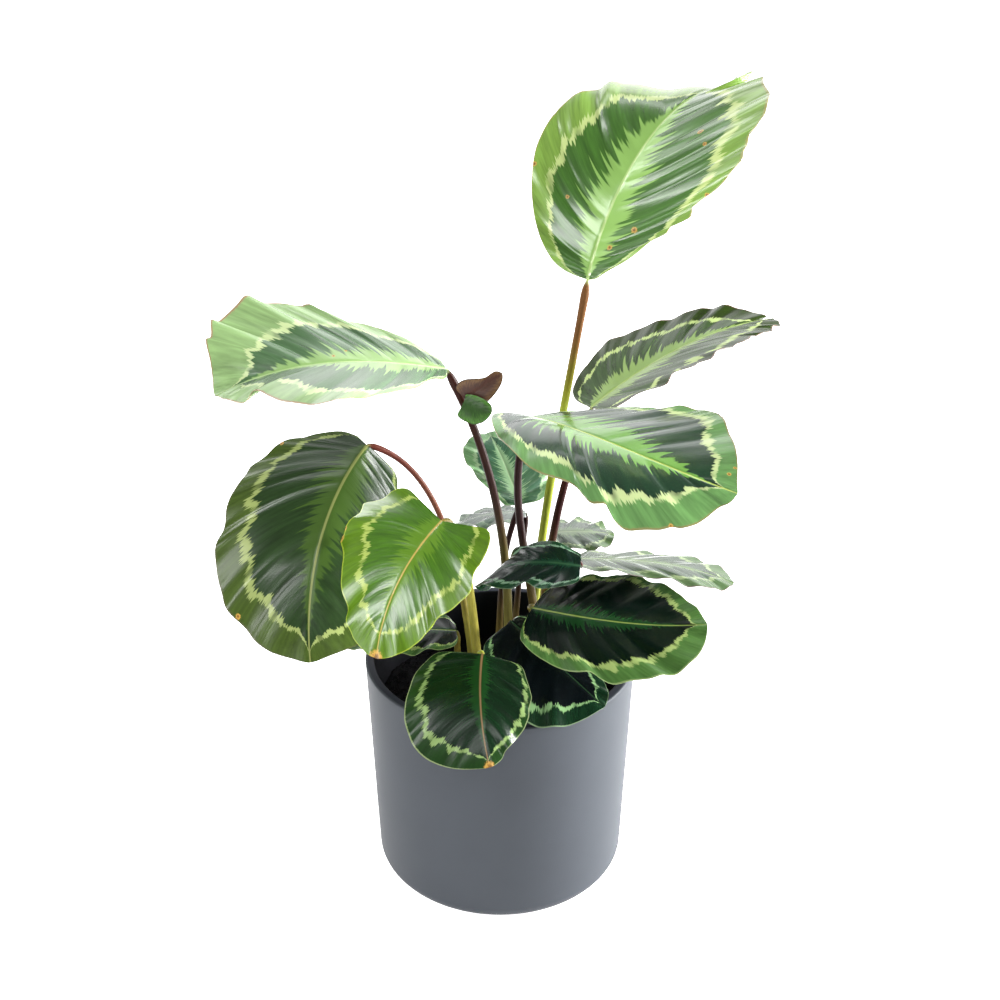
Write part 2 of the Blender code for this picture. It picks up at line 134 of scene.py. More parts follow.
# The skins of the blades and stalks
UPPER_ROUGHNESS = 0.26
UNDER_ROUGHNESS = 0.42
COAT_ROUGHNESS = 0.12
FINE_VEIN_SPACING = 0.0011
MIDRIB_HALF_WIDTH = 0.0007
UNDER_RIB = (128, 92, 78)
SPOT_RIM = (190, 146, 70)
SPOT_CORE = (94, 62, 34)

# Edges that bend by more degrees than these stay sharp
SHARP_BLADE = 65
SHARP_POT = 50
SHARP_SOIL = 60

LEFT, RIGHT = 1, -1
UPPER, UNDER = 1, -1

# One leaf. base is where the stalk meets the blade, and foot is where the stalk leaves the soil.
# heading, rise, droop, sweep, roll and twist are degrees. left and right are each half's fold at
# the base and the tip, its curl, and its share of the width at the base and the tip. low and high
# bow the stalk a third and two thirds of the way up. bumps are the margin's own bumps and notches:
# the half, the side vein's place, the spread, how far it goes out, and where it does so how far
# back towards the base, and up. ring is how far out the pale ring runs on the left and right
# halves, and where it closes at the tip. spots are brown spots: the half, the side vein, the share
# of the way out, and the radius. folds are how many pleats lie along each half, and how high they
# stand.
Leaf = namedtuple(
    "Leaf",
    "name finish tones stem base heading rise droop sweep roll twist length width lobe shape"
    " left right wave waves seed foot low high stalk bumps ring spots folds",
)


def new_leaf(name, finish, tones, stem, base, heading, rise, length, width, foot, seed, **more):
    values = dict(
        droop=(5, 15), sweep=0, roll=0, twist=0, lobe=0.05, shape=(0.8, 0.05),
        left=(0, 0, -10), right=(0, 0, -10), wave=0.0015, waves=5,
        low=(0, 0, 0), high=(0, 0, 0), stalk=STOUT, bumps=(), ring=(0.78, 0.76, 0.97), spots=(),
        folds=(max(4, round(length / PLEAT_SPACING)), PLEAT_HEIGHT * min(1.0, length / 0.10)),
    )
    values.update(more)
    return Leaf(
        name=name, finish=finish, tones=tones, stem=stem, base=base, heading=heading, rise=rise,
        length=length, width=width, foot=foot, seed=seed, **values,
    )


# The colours of one kind of blade, as they look in plain light (red, green, blue, 0 to 255); the
# night, teal and black sets are darker still, with the shade of leaves deep in the crown painted in
Tones = namedtuple("Tones", "centre feather ring margin rib edge under feather_width shine")

TONES = {
    "fresh": Tones(
        (56, 95, 30), (130, 170, 86), (178, 194, 124), (110, 144, 58), (168, 194, 124),
        (138, 138, 78), (136, 104, 112), 0.25, 0.80,
    ),
    "shiny": Tones(
        (60, 92, 54), (124, 156, 92), (180, 196, 142), (124, 154, 98), (158, 184, 126),
        (140, 120, 90), (136, 92, 106), 0.24, 0.92,
    ),
    "medallion": Tones(
        (13, 43, 23), (90, 134, 56), (166, 180, 126), (80, 118, 64), (160, 174, 84),
        (110, 108, 66), (110, 70, 90), 0.36, 0.80,
    ),
    "silver": Tones(
        (60, 74, 60), (94, 112, 82), (140, 154, 116), (72, 94, 60), (122, 136, 98),
        (100, 84, 80), (112, 72, 92), 0.30, 0.66,
    ),
    "olive": Tones(
        (44, 64, 28), (120, 144, 80), (166, 182, 118), (34, 50, 8), (146, 164, 98),
        (96, 72, 60), (112, 66, 82), 0.30, 0.30,
    ),
    "deep": Tones(
        (30, 48, 22), (52, 74, 28), (130, 142, 84), (54, 70, 26), (118, 124, 72),
        (66, 72, 40), (96, 58, 78), 0.22, 0.12,
    ),
    "bright": Tones(
        (54, 92, 6), (78, 114, 18), (148, 164, 80), (72, 104, 6), (170, 144, 68),
        (128, 146, 40), (120, 120, 70), 0.24, 0.36,
    ),
    "forest": Tones(
        (5, 29, 10), (15, 52, 17), (122, 146, 88), (22, 48, 15), (116, 88, 60),
        (120, 134, 92), (84, 50, 70), 0.16, 0.19,
    ),
    # Painted shade: this set is darkened for leaves that sit in the crown's shadow
    "night": Tones(
        (1, 12, 7), (14, 48, 20), (140, 158, 94), (64, 96, 46), (108, 124, 60),
        (112, 130, 82), (70, 42, 62), 0.20, 0.14,
    ),
    # Painted shade: a darkened set for a leaf deep in the crown's shadow
    "teal": Tones(
        (5, 22, 16), (14, 42, 29), (108, 136, 114), (18, 50, 30), (34, 62, 42),
        (90, 108, 84), (74, 40, 66), 0.14, 0.22,
    ),
    # Painted shade: a near-black set for a leaf hanging in deep shadow
    "black": Tones(
        (3, 7, 9), (6, 15, 12), (112, 146, 98), (10, 34, 18), (28, 50, 30),
        (90, 110, 80), (60, 38, 56), 0.12, 0.22,
    ),
    "pale": Tones(
        (48, 78, 58), (106, 134, 100), (126, 150, 114), (92, 126, 86), (130, 150, 118),
        (120, 130, 100), (112, 88, 120), 0.30, 0.4,
    ),
    "grey": Tones(
        (84, 94, 88), (108, 120, 106), (128, 140, 124), (98, 112, 98), (120, 130, 114),
        (96, 84, 92), (104, 66, 96), 0.22, 0.4,
    ),
    "wine": Tones(
        (60, 34, 24), (78, 50, 32), (88, 60, 38), (92, 66, 36), (70, 44, 30),
        (44, 26, 20), (78, 42, 40), 0.30, 0.25,
    ),
    "moss": Tones(
        (30, 60, 12), (66, 110, 28), (100, 148, 48), (56, 100, 24), (76, 120, 36),
        (34, 56, 20), (50, 70, 30), 0.45, 0.25,
    ),
}

# A stalk's colours, at the blade, in the middle and in the soil
STEMS = {
    "amber": ((94, 62, 32), (120, 130, 34), (134, 138, 54)),
    "cocoa": ((42, 15, 8), (34, 12, 7), (108, 102, 54)),
    "plum": ((34, 14, 14), (32, 13, 13), (112, 98, 52)),
    "wine": ((64, 22, 20), (44, 16, 16), (100, 84, 44)),
    "rust": ((86, 40, 30), (92, 52, 36), (150, 142, 66)),
    "olive": ((104, 94, 42), (122, 116, 48), (140, 132, 62)),
    "lime": ((130, 138, 40), (152, 174, 40), (150, 164, 52)),
}

LEAVES = [
    new_leaf(
        "leaf_top", "blade_light", "fresh", "amber",
        base=(0.045, 0.030, 0.336), heading=60, rise=62,
        length=0.159, width=0.118, foot=(0.018, 0.012), seed=1,
        droop=(12, 54), sweep=-28, roll=12, lobe=0.03, shape=(1.2, -0.10),
        left=(30, -30, 0, 1.0, 0.76), right=(16, 36, 0, 0.80, 1.02), wave=0.001, waves=6,
        low=(-0.010, 0.004, 0), high=(-0.002, 0.008, 0),
        bumps=(
            (LEFT, 0.65, 0.07, 0.008), (LEFT, 0.84, 0.06, -0.010), (RIGHT, 0.12, 0.08, -0.008),
            (RIGHT, 0.235, 0.014, 0.003), (RIGHT, 0.28, 0.020, 0.006), (RIGHT, 0.38, 0.06, 0.008),
            (RIGHT, 0.42, 0.020, 0.003), (RIGHT, 0.49, 0.020, -0.002), (RIGHT, 0.52, 0.12, 0.006),
            (RIGHT, 0.70, 0.04, -0.003), (RIGHT, 0.80, 0.020, 0.003, 0, 0.002),
            (RIGHT, 0.90, 0.020, 0.008, 0, 0.005), (RIGHT, 0.965, 0.015, 0.006, 0, 0.005),
        ),
        ring=(0.66, 0.80, 0.90),
        spots=(
            (RIGHT, 0.28, 0.16, 0.0016), (RIGHT, 0.33, 0.36, 0.0018), (RIGHT, 0.62, 0.55, 0.0020),
            (RIGHT, 0.56, 0.62, 0.0012), (LEFT, 0.36, 0.42, 0.0011), (RIGHT, 0.34, 0.98, 0.0014),
            (LEFT, 0.30, 0.97, 0.0013),
        ),
        folds=(9, 0.0019),
    ),
    new_leaf(
        "leaf_left_high", "blade_light", "shiny", "cocoa",
        base=(-0.027, -0.010, 0.302), heading=203, rise=16,
        length=0.118, width=0.104, foot=(0.003, 0.000), seed=2,
        droop=(4, 36), twist=-28, lobe=0.02, shape=(1.15, -0.16),
        left=(-20, 28, -5, 0.6, 1.0), right=(12, 14, -5, 0.9, 1.15), wave=0.0008,
        low=(0.014, 0, 0), high=(0.022, 0.003, 0),
        bumps=(
            (LEFT, 0.18, 0.06, -0.006), (LEFT, 0.52, 0.09, 0.008),
            (LEFT, 0.71, 0.04, -0.014, 0, 0.002), (LEFT, 0.82, 0.06, -0.007),
            (LEFT, 0.92, 0.05, -0.004), (RIGHT, 0.37, 0.05, -0.004),
            (RIGHT, 0.43, 0.018, 0.002, 0, 0.001), (RIGHT, 0.60, 0.030, 0.003, 0, 0.002),
            (RIGHT, 0.755, 0.018, 0.006), (RIGHT, 0.82, 0.020, 0.006), (RIGHT, 0.88, 0.06, -0.004),
        ),
        ring=(0.80, 0.64, 0.96),
        spots=((RIGHT, 0.66, 0.10, 0.0010), (RIGHT, 0.60, 0.16, 0.0008)), folds=(7, 0.0016),
    ),
    new_leaf(
        "leaf_right_mid", "blade_light", "medallion", "plum",
        base=(0.0156, 0.005, 0.270), heading=303, rise=14,
        length=0.125, width=0.114, foot=(0.015, -0.004), seed=3,
        droop=(30, 5), sweep=34, roll=10, twist=5, lobe=0.01, shape=(0.9, 0.0),
        left=(-14, 0, -6, 1.14, 1.06), right=(34, -2, -25, 0.92, 0.90), wave=0.0008,
        low=(0.018, 0, 0), high=(-0.020, 0, 0),
        bumps=(
            (LEFT, 0.58, 0.15, 0.007), (LEFT, 0.90, 0.06, -0.003), (RIGHT, 0.45, 0.05, -0.008),
            (RIGHT, 0.535, 0.020, -0.005), (RIGHT, 0.60, 0.030, 0.003),
            (RIGHT, 0.70, 0.020, -0.002), (RIGHT, 0.84, 0.05, -0.006),
        ),
        ring=(0.85, 0.77, 0.97),
        spots=((LEFT, 0.88, 0.86, 0.0012), (LEFT, 0.86, 0.96, 0.0010), (RIGHT, 0.70, 0.99, 0.0012)),
        folds=(8, 0.0014),
    ),
    new_leaf(
        "leaf_right_high", "blade_dark", "olive", "wine",
        base=(0.050, 0.045, 0.259), heading=34, rise=27,
        length=0.140, width=0.078, foot=(0.026, 0.016), seed=4,
        droop=(14, 20), twist=30, left=(2, -8, 0, 1.0, 0.78), right=(18, 20, 0),
        wave=0.0008, waves=8, low=(-0.012, 0, 0), high=(-0.013, 0, 0),
        bumps=(
            (LEFT, 0.10, 0.05, -0.004), (LEFT, 0.32, 0.07, 0.007), (LEFT, 0.42, 0.05, 0.003),
            (LEFT, 0.86, 0.10, -0.007), (RIGHT, 0.24, 0.025, 0.006), (RIGHT, 0.32, 0.025, 0.004),
            (RIGHT, 0.37, 0.020, 0.004), (RIGHT, 0.48, 0.030, -0.003), (RIGHT, 0.60, 0.07, -0.010),
            (RIGHT, 0.75, 0.08, -0.010),
        ),
        ring=(0.70, 0.80, 0.97), folds=(9, 0.0012),
    ),
    new_leaf(
        "leaf_left_large", "blade_dark", "deep", "rust",
        base=(-0.069, -0.002, 0.257), heading=240, rise=-20,
        length=0.121, width=0.130, foot=(-0.013, 0.004), seed=5,
        droop=(25, 25), sweep=18, shape=(0.72, 0.10),
        left=(-58, -33, -30), right=(-2, -6, -5), wave=0.001, waves=6,
        low=(0.012, 0, 0.005), high=(0.026, 0.022, 0.030), stalk=SLIM,
        bumps=(
            (LEFT, 0.05, 0.05, -0.004, 0.003), (LEFT, 0.12, 0.06, -0.010),
            (LEFT, 0.88, 0.06, -0.004), (RIGHT, 0.03, 0.04, 0, 0.006), (RIGHT, 0.12, 0.020, -0.003),
            (RIGHT, 0.24, 0.020, 0.003), (RIGHT, 0.42, 0.05, -0.002), (RIGHT, 0.72, 0.06, -0.003),
        ),
        ring=(0.86, 0.74, 0.98),
        spots=((RIGHT, 0.69, 0.97, 0.0016), (RIGHT, 0.17, 0.97, 0.0012)), folds=(9, 0.0007),
    ),
    new_leaf(
        "leaf_left_bright", "blade_bright", "bright", "olive",
        base=(-0.0278, -0.0705, 0.2472), heading=208, rise=-38,
        length=0.074, width=0.083, foot=(-0.011, -0.009), seed=6,
        droop=(12, 18), sweep=25, roll=-16, lobe=0.06, shape=(0.5, 0.18),
        left=(5, 0, -10, 1.0, 0.65), right=(0, 0, -10, 1.1, 0.82), wave=0.0008,
        low=(0.004, 0, 0.010), high=(0.006, 0.010, 0.030),
        bumps=(
            (LEFT, 0.06, 0.06, -0.002, 0.011), (LEFT, 0.19, 0.05, -0.003),
            (LEFT, 0.50, 0.05, -0.003), (RIGHT, 0.10, 0.07, -0.005), (RIGHT, 0.20, 0.020, -0.002),
            (RIGHT, 0.255, 0.020, 0.005), (RIGHT, 0.36, 0.08, 0.008), (RIGHT, 0.41, 0.020, 0.004),
            (RIGHT, 0.64, 0.06, -0.004), (RIGHT, 0.74, 0.04, -0.002),
        ),
        ring=(0.74, 0.69, 0.90),
        spots=((RIGHT, 0.40, 1.0, 0.0022), (RIGHT, 0.36, 1.0, 0.0012), (RIGHT, 1.0, 0.0, 0.0044)),
    ),
    new_leaf(
        "leaf_front_small", "blade_dark", "forest", "lime",
        base=(-0.009, -0.062, 0.1675), heading=263, rise=-25,
        length=0.059, width=0.077, foot=(-0.009, -0.020), seed=7,
        droop=(15, 20), sweep=18, lobe=0.06, shape=(0.7, 0.0),
        left=(-18, -18, -20, 0.86, 0.52), right=(0, 0, -8, 1.0, 1.0), wave=0.0008,
        low=(-0.004, 0, 0.010), high=(-0.004, 0, 0.016), stalk=SLIM,
        bumps=((LEFT, 0.74, 0.08, -0.004),),
        ring=(0.86, 0.77, 0.97), spots=((RIGHT, 1.0, 0.0, 0.0030),),
    ),
    new_leaf(
        "leaf_right_dark", "blade_dark", "night", "olive",
        base=(0.017, -0.030, 0.176), heading=336, rise=1,
        length=0.092, width=0.088, foot=(0.016, -0.014), seed=8,
        droop=(8, -8), sweep=25, roll=8, lobe=0.03, shape=(0.72, 0.05),
        left=(-5, -5, 0), right=(-5, -5, 0, 0.9, 0.98), wave=0.001,
        low=(0.002, 0.008, 0), high=(0.003, 0.030, 0.010),
        bumps=(
            (LEFT, 0.50, 0.15, 0.003), (RIGHT, 0.39, 0.025, -0.002), (RIGHT, 0.47, 0.030, 0.002),
            (RIGHT, 0.62, 0.020, -0.001),
        ),
        ring=(0.88, 0.76, 0.97),
    ),
    new_leaf(
        "leaf_right_narrow", "blade_dark", "silver", "olive",
        base=(0.0412, 0.005, 0.1865), heading=355, rise=3,
        length=0.087, width=0.055, foot=(0.034, 0.012), seed=9,
        droop=(3, 22), roll=-14, twist=15, shape=(0.75, 0.05),
        right=(0, 0, -10, 0.85, 0.85), wave=0.001,
        low=(0, 0.003, 0), high=(0, 0.003, 0), stalk=SLIM,
    ),
    new_leaf(
        "leaf_center_small", "blade_dark", "teal", "wine",
        base=(0.042, -0.0255, 0.1985), heading=186, rise=14,
        length=0.063, width=0.030, foot=(0.024, 0.004), seed=10,
        droop=(20, 75), roll=-38, twist=90, left=(-5, -5, -15), right=(-5, -5, -15),
        wave=0.001, waves=4,
        low=(-0.005, 0.0107, 0.0073), high=(-0.002, 0.0273, 0.0307), stalk=SLIM,
        bumps=((LEFT, 0.42, 0.05, -0.004),),
    ),
    new_leaf(
        "leaf_back_pale", "blade_light", "pale", "plum",
        base=(0.011, 0.035, 0.205), heading=112, rise=38,
        length=0.054, width=0.048, foot=(-0.004, 0.014), seed=11,
        droop=(5, 20), left=(5, 5, -10, 0.55, 1.15), right=(5, 5, -10), wave=0.001,
        low=(0.002, 0, 0), high=(-0.010, 0, 0), stalk=SLIM,
    ),
    new_leaf(
        "leaf_back_right", "blade_light", "silver", "olive",
        base=(0.0305, 0.051, 0.179), heading=5, rise=4,
        length=0.036, width=0.040, foot=(0.016, 0.025), seed=12,
        droop=(8, 8), waves=4, stalk=SLIM,
    ),
    new_leaf(
        "leaf_back_left", "blade_light", "grey", "plum",
        base=(0.0145, 0.055, 0.190), heading=182, rise=4,
        length=0.042, width=0.036, foot=(0.006, 0.026), seed=13,
        droop=(10, 20), roll=10, waves=4, stalk=SLIM,
    ),
    new_leaf(
        "leaf_rim_dark", "blade_dark", "black", "plum",
        base=(0.006, -0.022, 0.163), heading=321, rise=-24,
        length=0.068, width=0.078, foot=(0.003, -0.019), seed=14,
        droop=(2, -2), roll=8, shape=(0.7, -0.08),
        left=(0, 0, -5, 0.4, 0.4), right=(-3, -3, -5), wave=0.001, stalk=SLIM,
        ring=(0.80, 0.78, 0.97),
    ),
    new_leaf(
        "leaf_inner_left", "blade_dark", "night", "olive",
        base=(-0.024, -0.010, 0.150), heading=186, rise=8,
        length=0.066, width=0.044, foot=(-0.023, -0.006), seed=16,
        droop=(5, 12), stalk=SLIM,
    ),
]

# Two curled lobes at the top of the left high leaf's stalk, with no stalk of their own
LOBES = [
    new_leaf(
        "lobe_purple", "blade_purple", "wine", None,
        base=(-0.0175, -0.0120, 0.2862), heading=5, rise=36,
        length=0.023, width=0.022, foot=None, seed=17, droop=(0, 0), roll=-80,
        lobe=0.08, shape=(0.75, 0.10), left=(-8, -8, -30, 0.8, 0.5),
        right=(20, 20, -20, 1.1, 0.5), wave=0.0004, waves=2,
        bumps=((RIGHT, 0.50, 0.20, -0.004),),
    ),
    new_leaf(
        "lobe_green", "blade_bright", "moss", None,
        base=(-0.0180, -0.0146, 0.2865), heading=352, rise=-22,
        length=0.0150, width=0.020, foot=None, seed=18, droop=(0, 0), roll=75,
        lobe=0.10, shape=(0.6, 0.05), left=(-10, -10, -30, 0.5, 0.5),
        right=(10, 10, -30, 1.1, 0.8), wave=0.0004, waves=2,
    ),
]


def linear(colour):
    """A colour of 0 to 255 as the linear red, green, blue and alpha that a shader takes."""
    shares = (c / 255 for c in colour)
    return (*(s / 12.92 if s <= 0.04045 else ((s + 0.055) / 1.055) ** 2.4 for s in shares), 1.0)


class Finish:
    """A material, with short calls for the nodes that the finishes here share."""

    def __init__(self, name, roughness, bump_height=0.0002):
        self.material = bpy.data.materials.new(name)
        self.material.use_nodes = True
        self.nodes = self.material.node_tree.nodes
        self.shader = self.nodes["Principled BSDF"]
        self.shader.inputs["Roughness"].default_value = roughness
        self.bump_height = bump_height

    def feed(self, socket, value):
        """Links value to the socket, or sets it there where it is a plain number or colour."""
        if isinstance(value, bpy.types.NodeSocket):
            self.material.node_tree.links.new(value, socket)
        else:
            socket.default_value = value

    def math(self, operation, *values, clamp=False):
        node = self.nodes.new("ShaderNodeMath")
        node.operation = operation
        node.use_clamp = clamp
        for socket, value in zip(node.inputs, values):
            self.feed(socket, value)
        return node.outputs[0]

    def times(self, a, b):
        return self.math("MULTIPLY", a, b)

    def rest(self, share):
        """What is left of 1."""
        return self.math("SUBTRACT", 1.0, share)

    def total(self, *terms):
        """The sum of (share, value) terms."""
        result = 0.0
        for share, value in terms:
            result = self.math("MULTIPLY_ADD", value, share, result)
        return result

    def past(self, value, edge, soft):
        """0 where value is below the edge and 1 above it, blended over soft each way."""
        node = self.nodes.new("ShaderNodeMapRange")
        node.interpolation_type = "SMOOTHSTEP"
        self.feed(node.inputs["Value"], value)
        self.feed(node.inputs["From Min"], self.math("SUBTRACT", edge, soft))
        self.feed(node.inputs["From Max"], self.math("ADD", edge, soft))
        return node.outputs["Result"]

    def mix(self, share, a, b):
        node = self.nodes.new("ShaderNodeMix")
        node.data_type = "RGBA"
        for place, value in ((0, share), (6, a), (7, b)):
            self.feed(node.inputs[place], value)
        return node.outputs[2]

    def brighter(self, colour, factor):
        node = self.nodes.new("ShaderNodeHueSaturation")
        self.feed(node.inputs["Value"], factor)
        self.feed(node.inputs["Color"], colour)
        return node.outputs[0]

    def point(self, x, y, z=0.0):
        node = self.nodes.new("ShaderNodeCombineXYZ")
        for socket, value in zip(node.inputs, (x, y, z)):
            self.feed(socket, value)
        return node.outputs[0]

    def split(self, vector):
        node = self.nodes.new("ShaderNodeSeparateXYZ")
        self.feed(node.inputs[0], vector)
        return node.outputs

    def noise(self, place, scale, detail, socket="Vector"):
        node = self.nodes.new("ShaderNodeTexNoise")
        node.noise_dimensions = "1D" if socket == "W" else "3D"
        self.feed(node.inputs[socket], place)
        node.inputs["Scale"].default_value = scale
        node.inputs["Detail"].default_value = detail
        return node.outputs["Fac"]

    def line_noise(self, place, scale):
        """Noise that changes along one number only."""
        return self.noise(place, scale, 1.0, "W")

    def streaks(self, strip, out, stretch, scale, detail=3.0):
        """Noise that is drawn out along the side veins."""
        return self.noise(self.point(strip, self.times(out, stretch)), scale, detail)

    def steps(self, place, count):
        """A random number for each of count even strips of place."""
        node = self.nodes.new("ShaderNodeTexWhiteNoise")
        node.noise_dimensions = "1D"
        self.feed(node.inputs["W"], self.math("FLOOR", self.times(place, count)))
        return node.outputs["Value"]

    def object_place(self):
        return self.nodes.new("ShaderNodeTexCoord").outputs["Object"]

    def map_place(self, name):
        node = self.nodes.new("ShaderNodeUVMap")
        node.uv_map = name
        return node.outputs[0]

    def colour(self, value):
        self.feed(self.shader.inputs["Base Color"], value)

    def bump(self, height, strength):
        node = self.nodes.new("ShaderNodeBump")
        node.inputs["Distance"].default_value = self.bump_height
        node.inputs["Strength"].default_value = strength
        self.feed(node.inputs["Height"], height)
        self.feed(self.shader.inputs["Normal"], node.outputs[0])


def leaf_finish(name, roughness, shine):
    """A leaf's skin, whose waxy coat takes sharper glare than the tissue below it."""
    finish = Finish(name, roughness)
    finish.shader.inputs["Coat Weight"].default_value = 0.5 * shine
    finish.shader.inputs["Coat Roughness"].default_value = COAT_ROUGHNESS
    finish.shader.inputs["Specular IOR Level"].default_value = shine
    return finish


def vein_place(finish, seed):
    """The side vein's place, the way out along it, the half (1 is the right), and its own strip."""
    u, out, _ = finish.split(finish.map_place("Veins"))
    half = finish.math("GREATER_THAN", u, 1.5)
    vein = finish.math("MULTIPLY_ADD", half, -2.0, u)
    strip = finish.total((1.0, vein), (5.3, half), (1.0, 1.7 * seed))
    return vein, out, half, strip


def closing(finish, vein, end, power):
    """1 near the base, falling to 0 where the pattern closes towards the tip."""
    share = finish.math("POWER", finish.math("DIVIDE", vein, end, clamp=True), power)
    return finish.math("SQRT", finish.math("SUBTRACT", 1.0, share, clamp=True))


def fine_veins(finish, leaf, vein):
    """Fine ridges along the side veins."""
    return finish.math("SINE", finish.times(vein, 2 * math.pi * leaf.length / FINE_VEIN_SPACING))


def ring_band(finish, out, place, strip):
    """1 inside the thin pale ring, whose ragged edges are drawn out along the veins."""
    width = finish.total((0.22, finish.line_noise(strip, 21.0)), (1.0, -0.034))
    inner, outer = (
        finish.total(
            (1.0, place), (sign * 0.5, width), (sign * 0.11, finish.line_noise(strip, scale)),
            (1.0, -sign * 0.055),
        )
        for sign, scale in ((-1, 150.0), (1, 190.0))
    )
    return finish.times(finish.past(out, inner, 0.012), finish.rest(finish.past(out, outer, 0.012)))


def feather_share(finish, leaf, vein, out, strip, jagged, broad):
    """1 in the light feather along the midrib, with long spikes along some veins."""
    spikes = finish.math("POWER", finish.line_noise(strip, 58.0), 2.0)
    reach = finish.total((0.5, jagged), (2.2, spikes), (0.5, broad), (1.0, -0.22))
    reach = finish.times(reach, closing(finish, vein, 0.97, 3.0))
    rise = finish.math("SQRT", finish.math("MULTIPLY", vein, 2.5, clamp=True))
    edge = finish.times(finish.times(reach, rise), TONES[leaf.tones].feather_width)
    return finish.rest(finish.past(out, edge, 0.035))


def with_spots(finish, leaf, colour, along, across):
    """The colour with small brown spots that have a lighter rim."""
    grain = finish.noise(finish.point(along, across), 900.0, 2.0)
    for half, s, t, radius in leaf.spots:
        _, _, x, y = blade_grid(leaf, np.array([s]), np.array([t]), half)
        squares = (
            (1.0, finish.math("POWER", finish.math("SUBTRACT", place, float(middle)), 2.0))
            for place, middle in ((along, x[0]), (across, half * y[0]))
        )
        apart = finish.math("SQRT", finish.total(*squares))
        apart = finish.math("MULTIPLY_ADD", grain, radius, apart)
        for reach, soft, tone in ((1.35, 0.25, SPOT_RIM), (0.95, 0.20, SPOT_CORE)):
            near = finish.rest(finish.past(apart, reach * radius, soft * radius))
            colour = finish.mix(finish.times(near, 0.85), colour, linear(tone))
    return colour


def leaf_upper(leaf):
    """The upper face: a dark middle with a feathered rib, a jagged pale ring and a green margin."""
    tones = TONES[leaf.tones]
    finish = leaf_finish(f"{leaf.name} upper face", UPPER_ROUGHNESS, tones.shine)
    vein, out, half, strip = vein_place(finish, leaf.seed)
    broad = finish.line_noise(strip, 9.0)
    jagged = finish.line_noise(strip, 34.0)
    fine = finish.line_noise(strip, 130.0)
    blocks = finish.steps(strip, 46.0)
    bands = finish.line_noise(strip, 19.0)
    streaks = finish.streaks(strip, out, 0.035, 95.0)

    left, right, end = leaf.ring
    place = finish.math("MULTIPLY_ADD", half, right - left, left)
    place = finish.times(place, closing(finish, vein, end, 7.0))
    place = finish.total((1.0, place), (0.12, broad), (0.07, jagged), (0.05, blocks), (1.0, -0.12))
    ring = ring_band(finish, out, place, strip)
    kept = finish.past(finish.line_noise(strip, 24.0), 0.36, 0.10)
    ring = finish.times(ring, finish.math("MULTIPLY_ADD", kept, 0.62, 0.32))
    feather = feather_share(finish, leaf, vein, out, strip, jagged, broad)

    lit = finish.total((1.2, streaks), (0.8, bands))
    middle = finish.mix(feather, finish.brighter(linear(tones.centre), lit), linear(tones.feather))
    lit = finish.total((1.0, streaks), (0.6, bands), (1.0, 0.20))
    margin = finish.brighter(linear(tones.margin), lit)
    whole = finish.mix(finish.past(out, place, 0.02), middle, margin)
    whole = finish.mix(ring, whole, linear(tones.ring))

    along, across, _ = finish.split(finish.map_place("Flat"))
    broadest = MIDRIB_HALF_WIDTH * (leaf.length / 0.10) ** 0.6
    slim = finish.math("MULTIPLY_ADD", along, -0.6 * broadest / leaf.length, broadest)
    rib = finish.rest(finish.past(finish.math("ABSOLUTE", across), slim, 0.0003))
    whole = finish.mix(rib, whole, linear(tones.rib))
    edge = finish.past(out, finish.math("MULTIPLY_ADD", fine, 0.012, 0.978), 0.006)
    whole = finish.mix(edge, whole, linear(tones.edge))
    finish.colour(with_spots(finish, leaf, whole, along, across))

    swells = finish.streaks(strip, out, 0.035, 70.0, 1.0)
    finish.bump(finish.total((0.04, fine_veins(finish, leaf, vein)), (1.3, swells)), 0.35)
    return finish.material


def leaf_under(leaf):
    """The under face: a dull purple with darker streaks and a reddish rib."""
    finish = Finish(f"{leaf.name} under face", UNDER_ROUGHNESS)
    vein, out, _, strip = vein_place(finish, leaf.seed)
    streaks = finish.streaks(strip, out, 0.04, 80.0)
    lit = finish.total((0.9, streaks), (1.0, 0.55))
    whole = finish.brighter(linear(TONES[leaf.tones].under), lit)
    _, across, _ = finish.split(finish.map_place("Flat"))
    rib = finish.rest(finish.past(finish.math("ABSOLUTE", across), 0.0012, 0.0004))
    finish.colour(finish.mix(rib, whole, linear(UNDER_RIB)))
    finish.bump(finish.total((0.3, fine_veins(finish, leaf, vein)), (1.5, streaks)), 0.4)
    return finish.material


def lobe_skin(leaf):
    """A curled lobe's skin on both faces: streaks along its veins, and a dull edge."""
    tones = TONES[leaf.tones]
    finish = leaf_finish(f"{leaf.name} skin", 0.45, tones.shine)
    _, out, _, strip = vein_place(finish, leaf.seed)
    streaks = finish.streaks(strip, out, 0.05, 60.0)
    share = finish.past(finish.total((0.7, out), (0.6, streaks)), 0.80, 0.25)
    whole = finish.mix(share, linear(tones.centre), linear(tones.margin))
    whole = finish.brighter(whole, finish.total((1.2, streaks), (1.0, 0.40)))
    finish.colour(finish.mix(finish.past(out, 0.95, 0.03), whole, linear(tones.edge)))
    finish.bump(streaks, 0.5)
    return finish.material


def stalk_skin(leaf):
    """A stalk's skin: its colour changes from the blade to the soil, with fine streaks along it."""
    top, middle, foot = (linear(c) for c in STEMS[leaf.stem])
    finish = Finish(f"{leaf.name} stalk skin", UNDER_ROUGHNESS)
    finish.shader.inputs["Specular IOR Level"].default_value = 0.10
    up, around, _ = finish.split(finish.map_place("Skin"))
    streaks = finish.noise(finish.point(finish.times(up, 1.5), around), 14.0, 3.0)
    blend = finish.total((1.0, up), (0.12, streaks), (1.0, -0.06))
    whole = finish.mix(finish.past(blend, 0.44, 0.20), foot, middle)
    whole = finish.mix(finish.past(blend, 0.76, 0.10), whole, top)
    whole = finish.mix(finish.past(up, 0.955, 0.010), whole, linear(TONES[leaf.tones].rib))
    finish.colour(finish.brighter(whole, finish.total((1.0, streaks), (1.0, 0.50))))
    finish.bump(streaks, 0.5)
    return finish.material


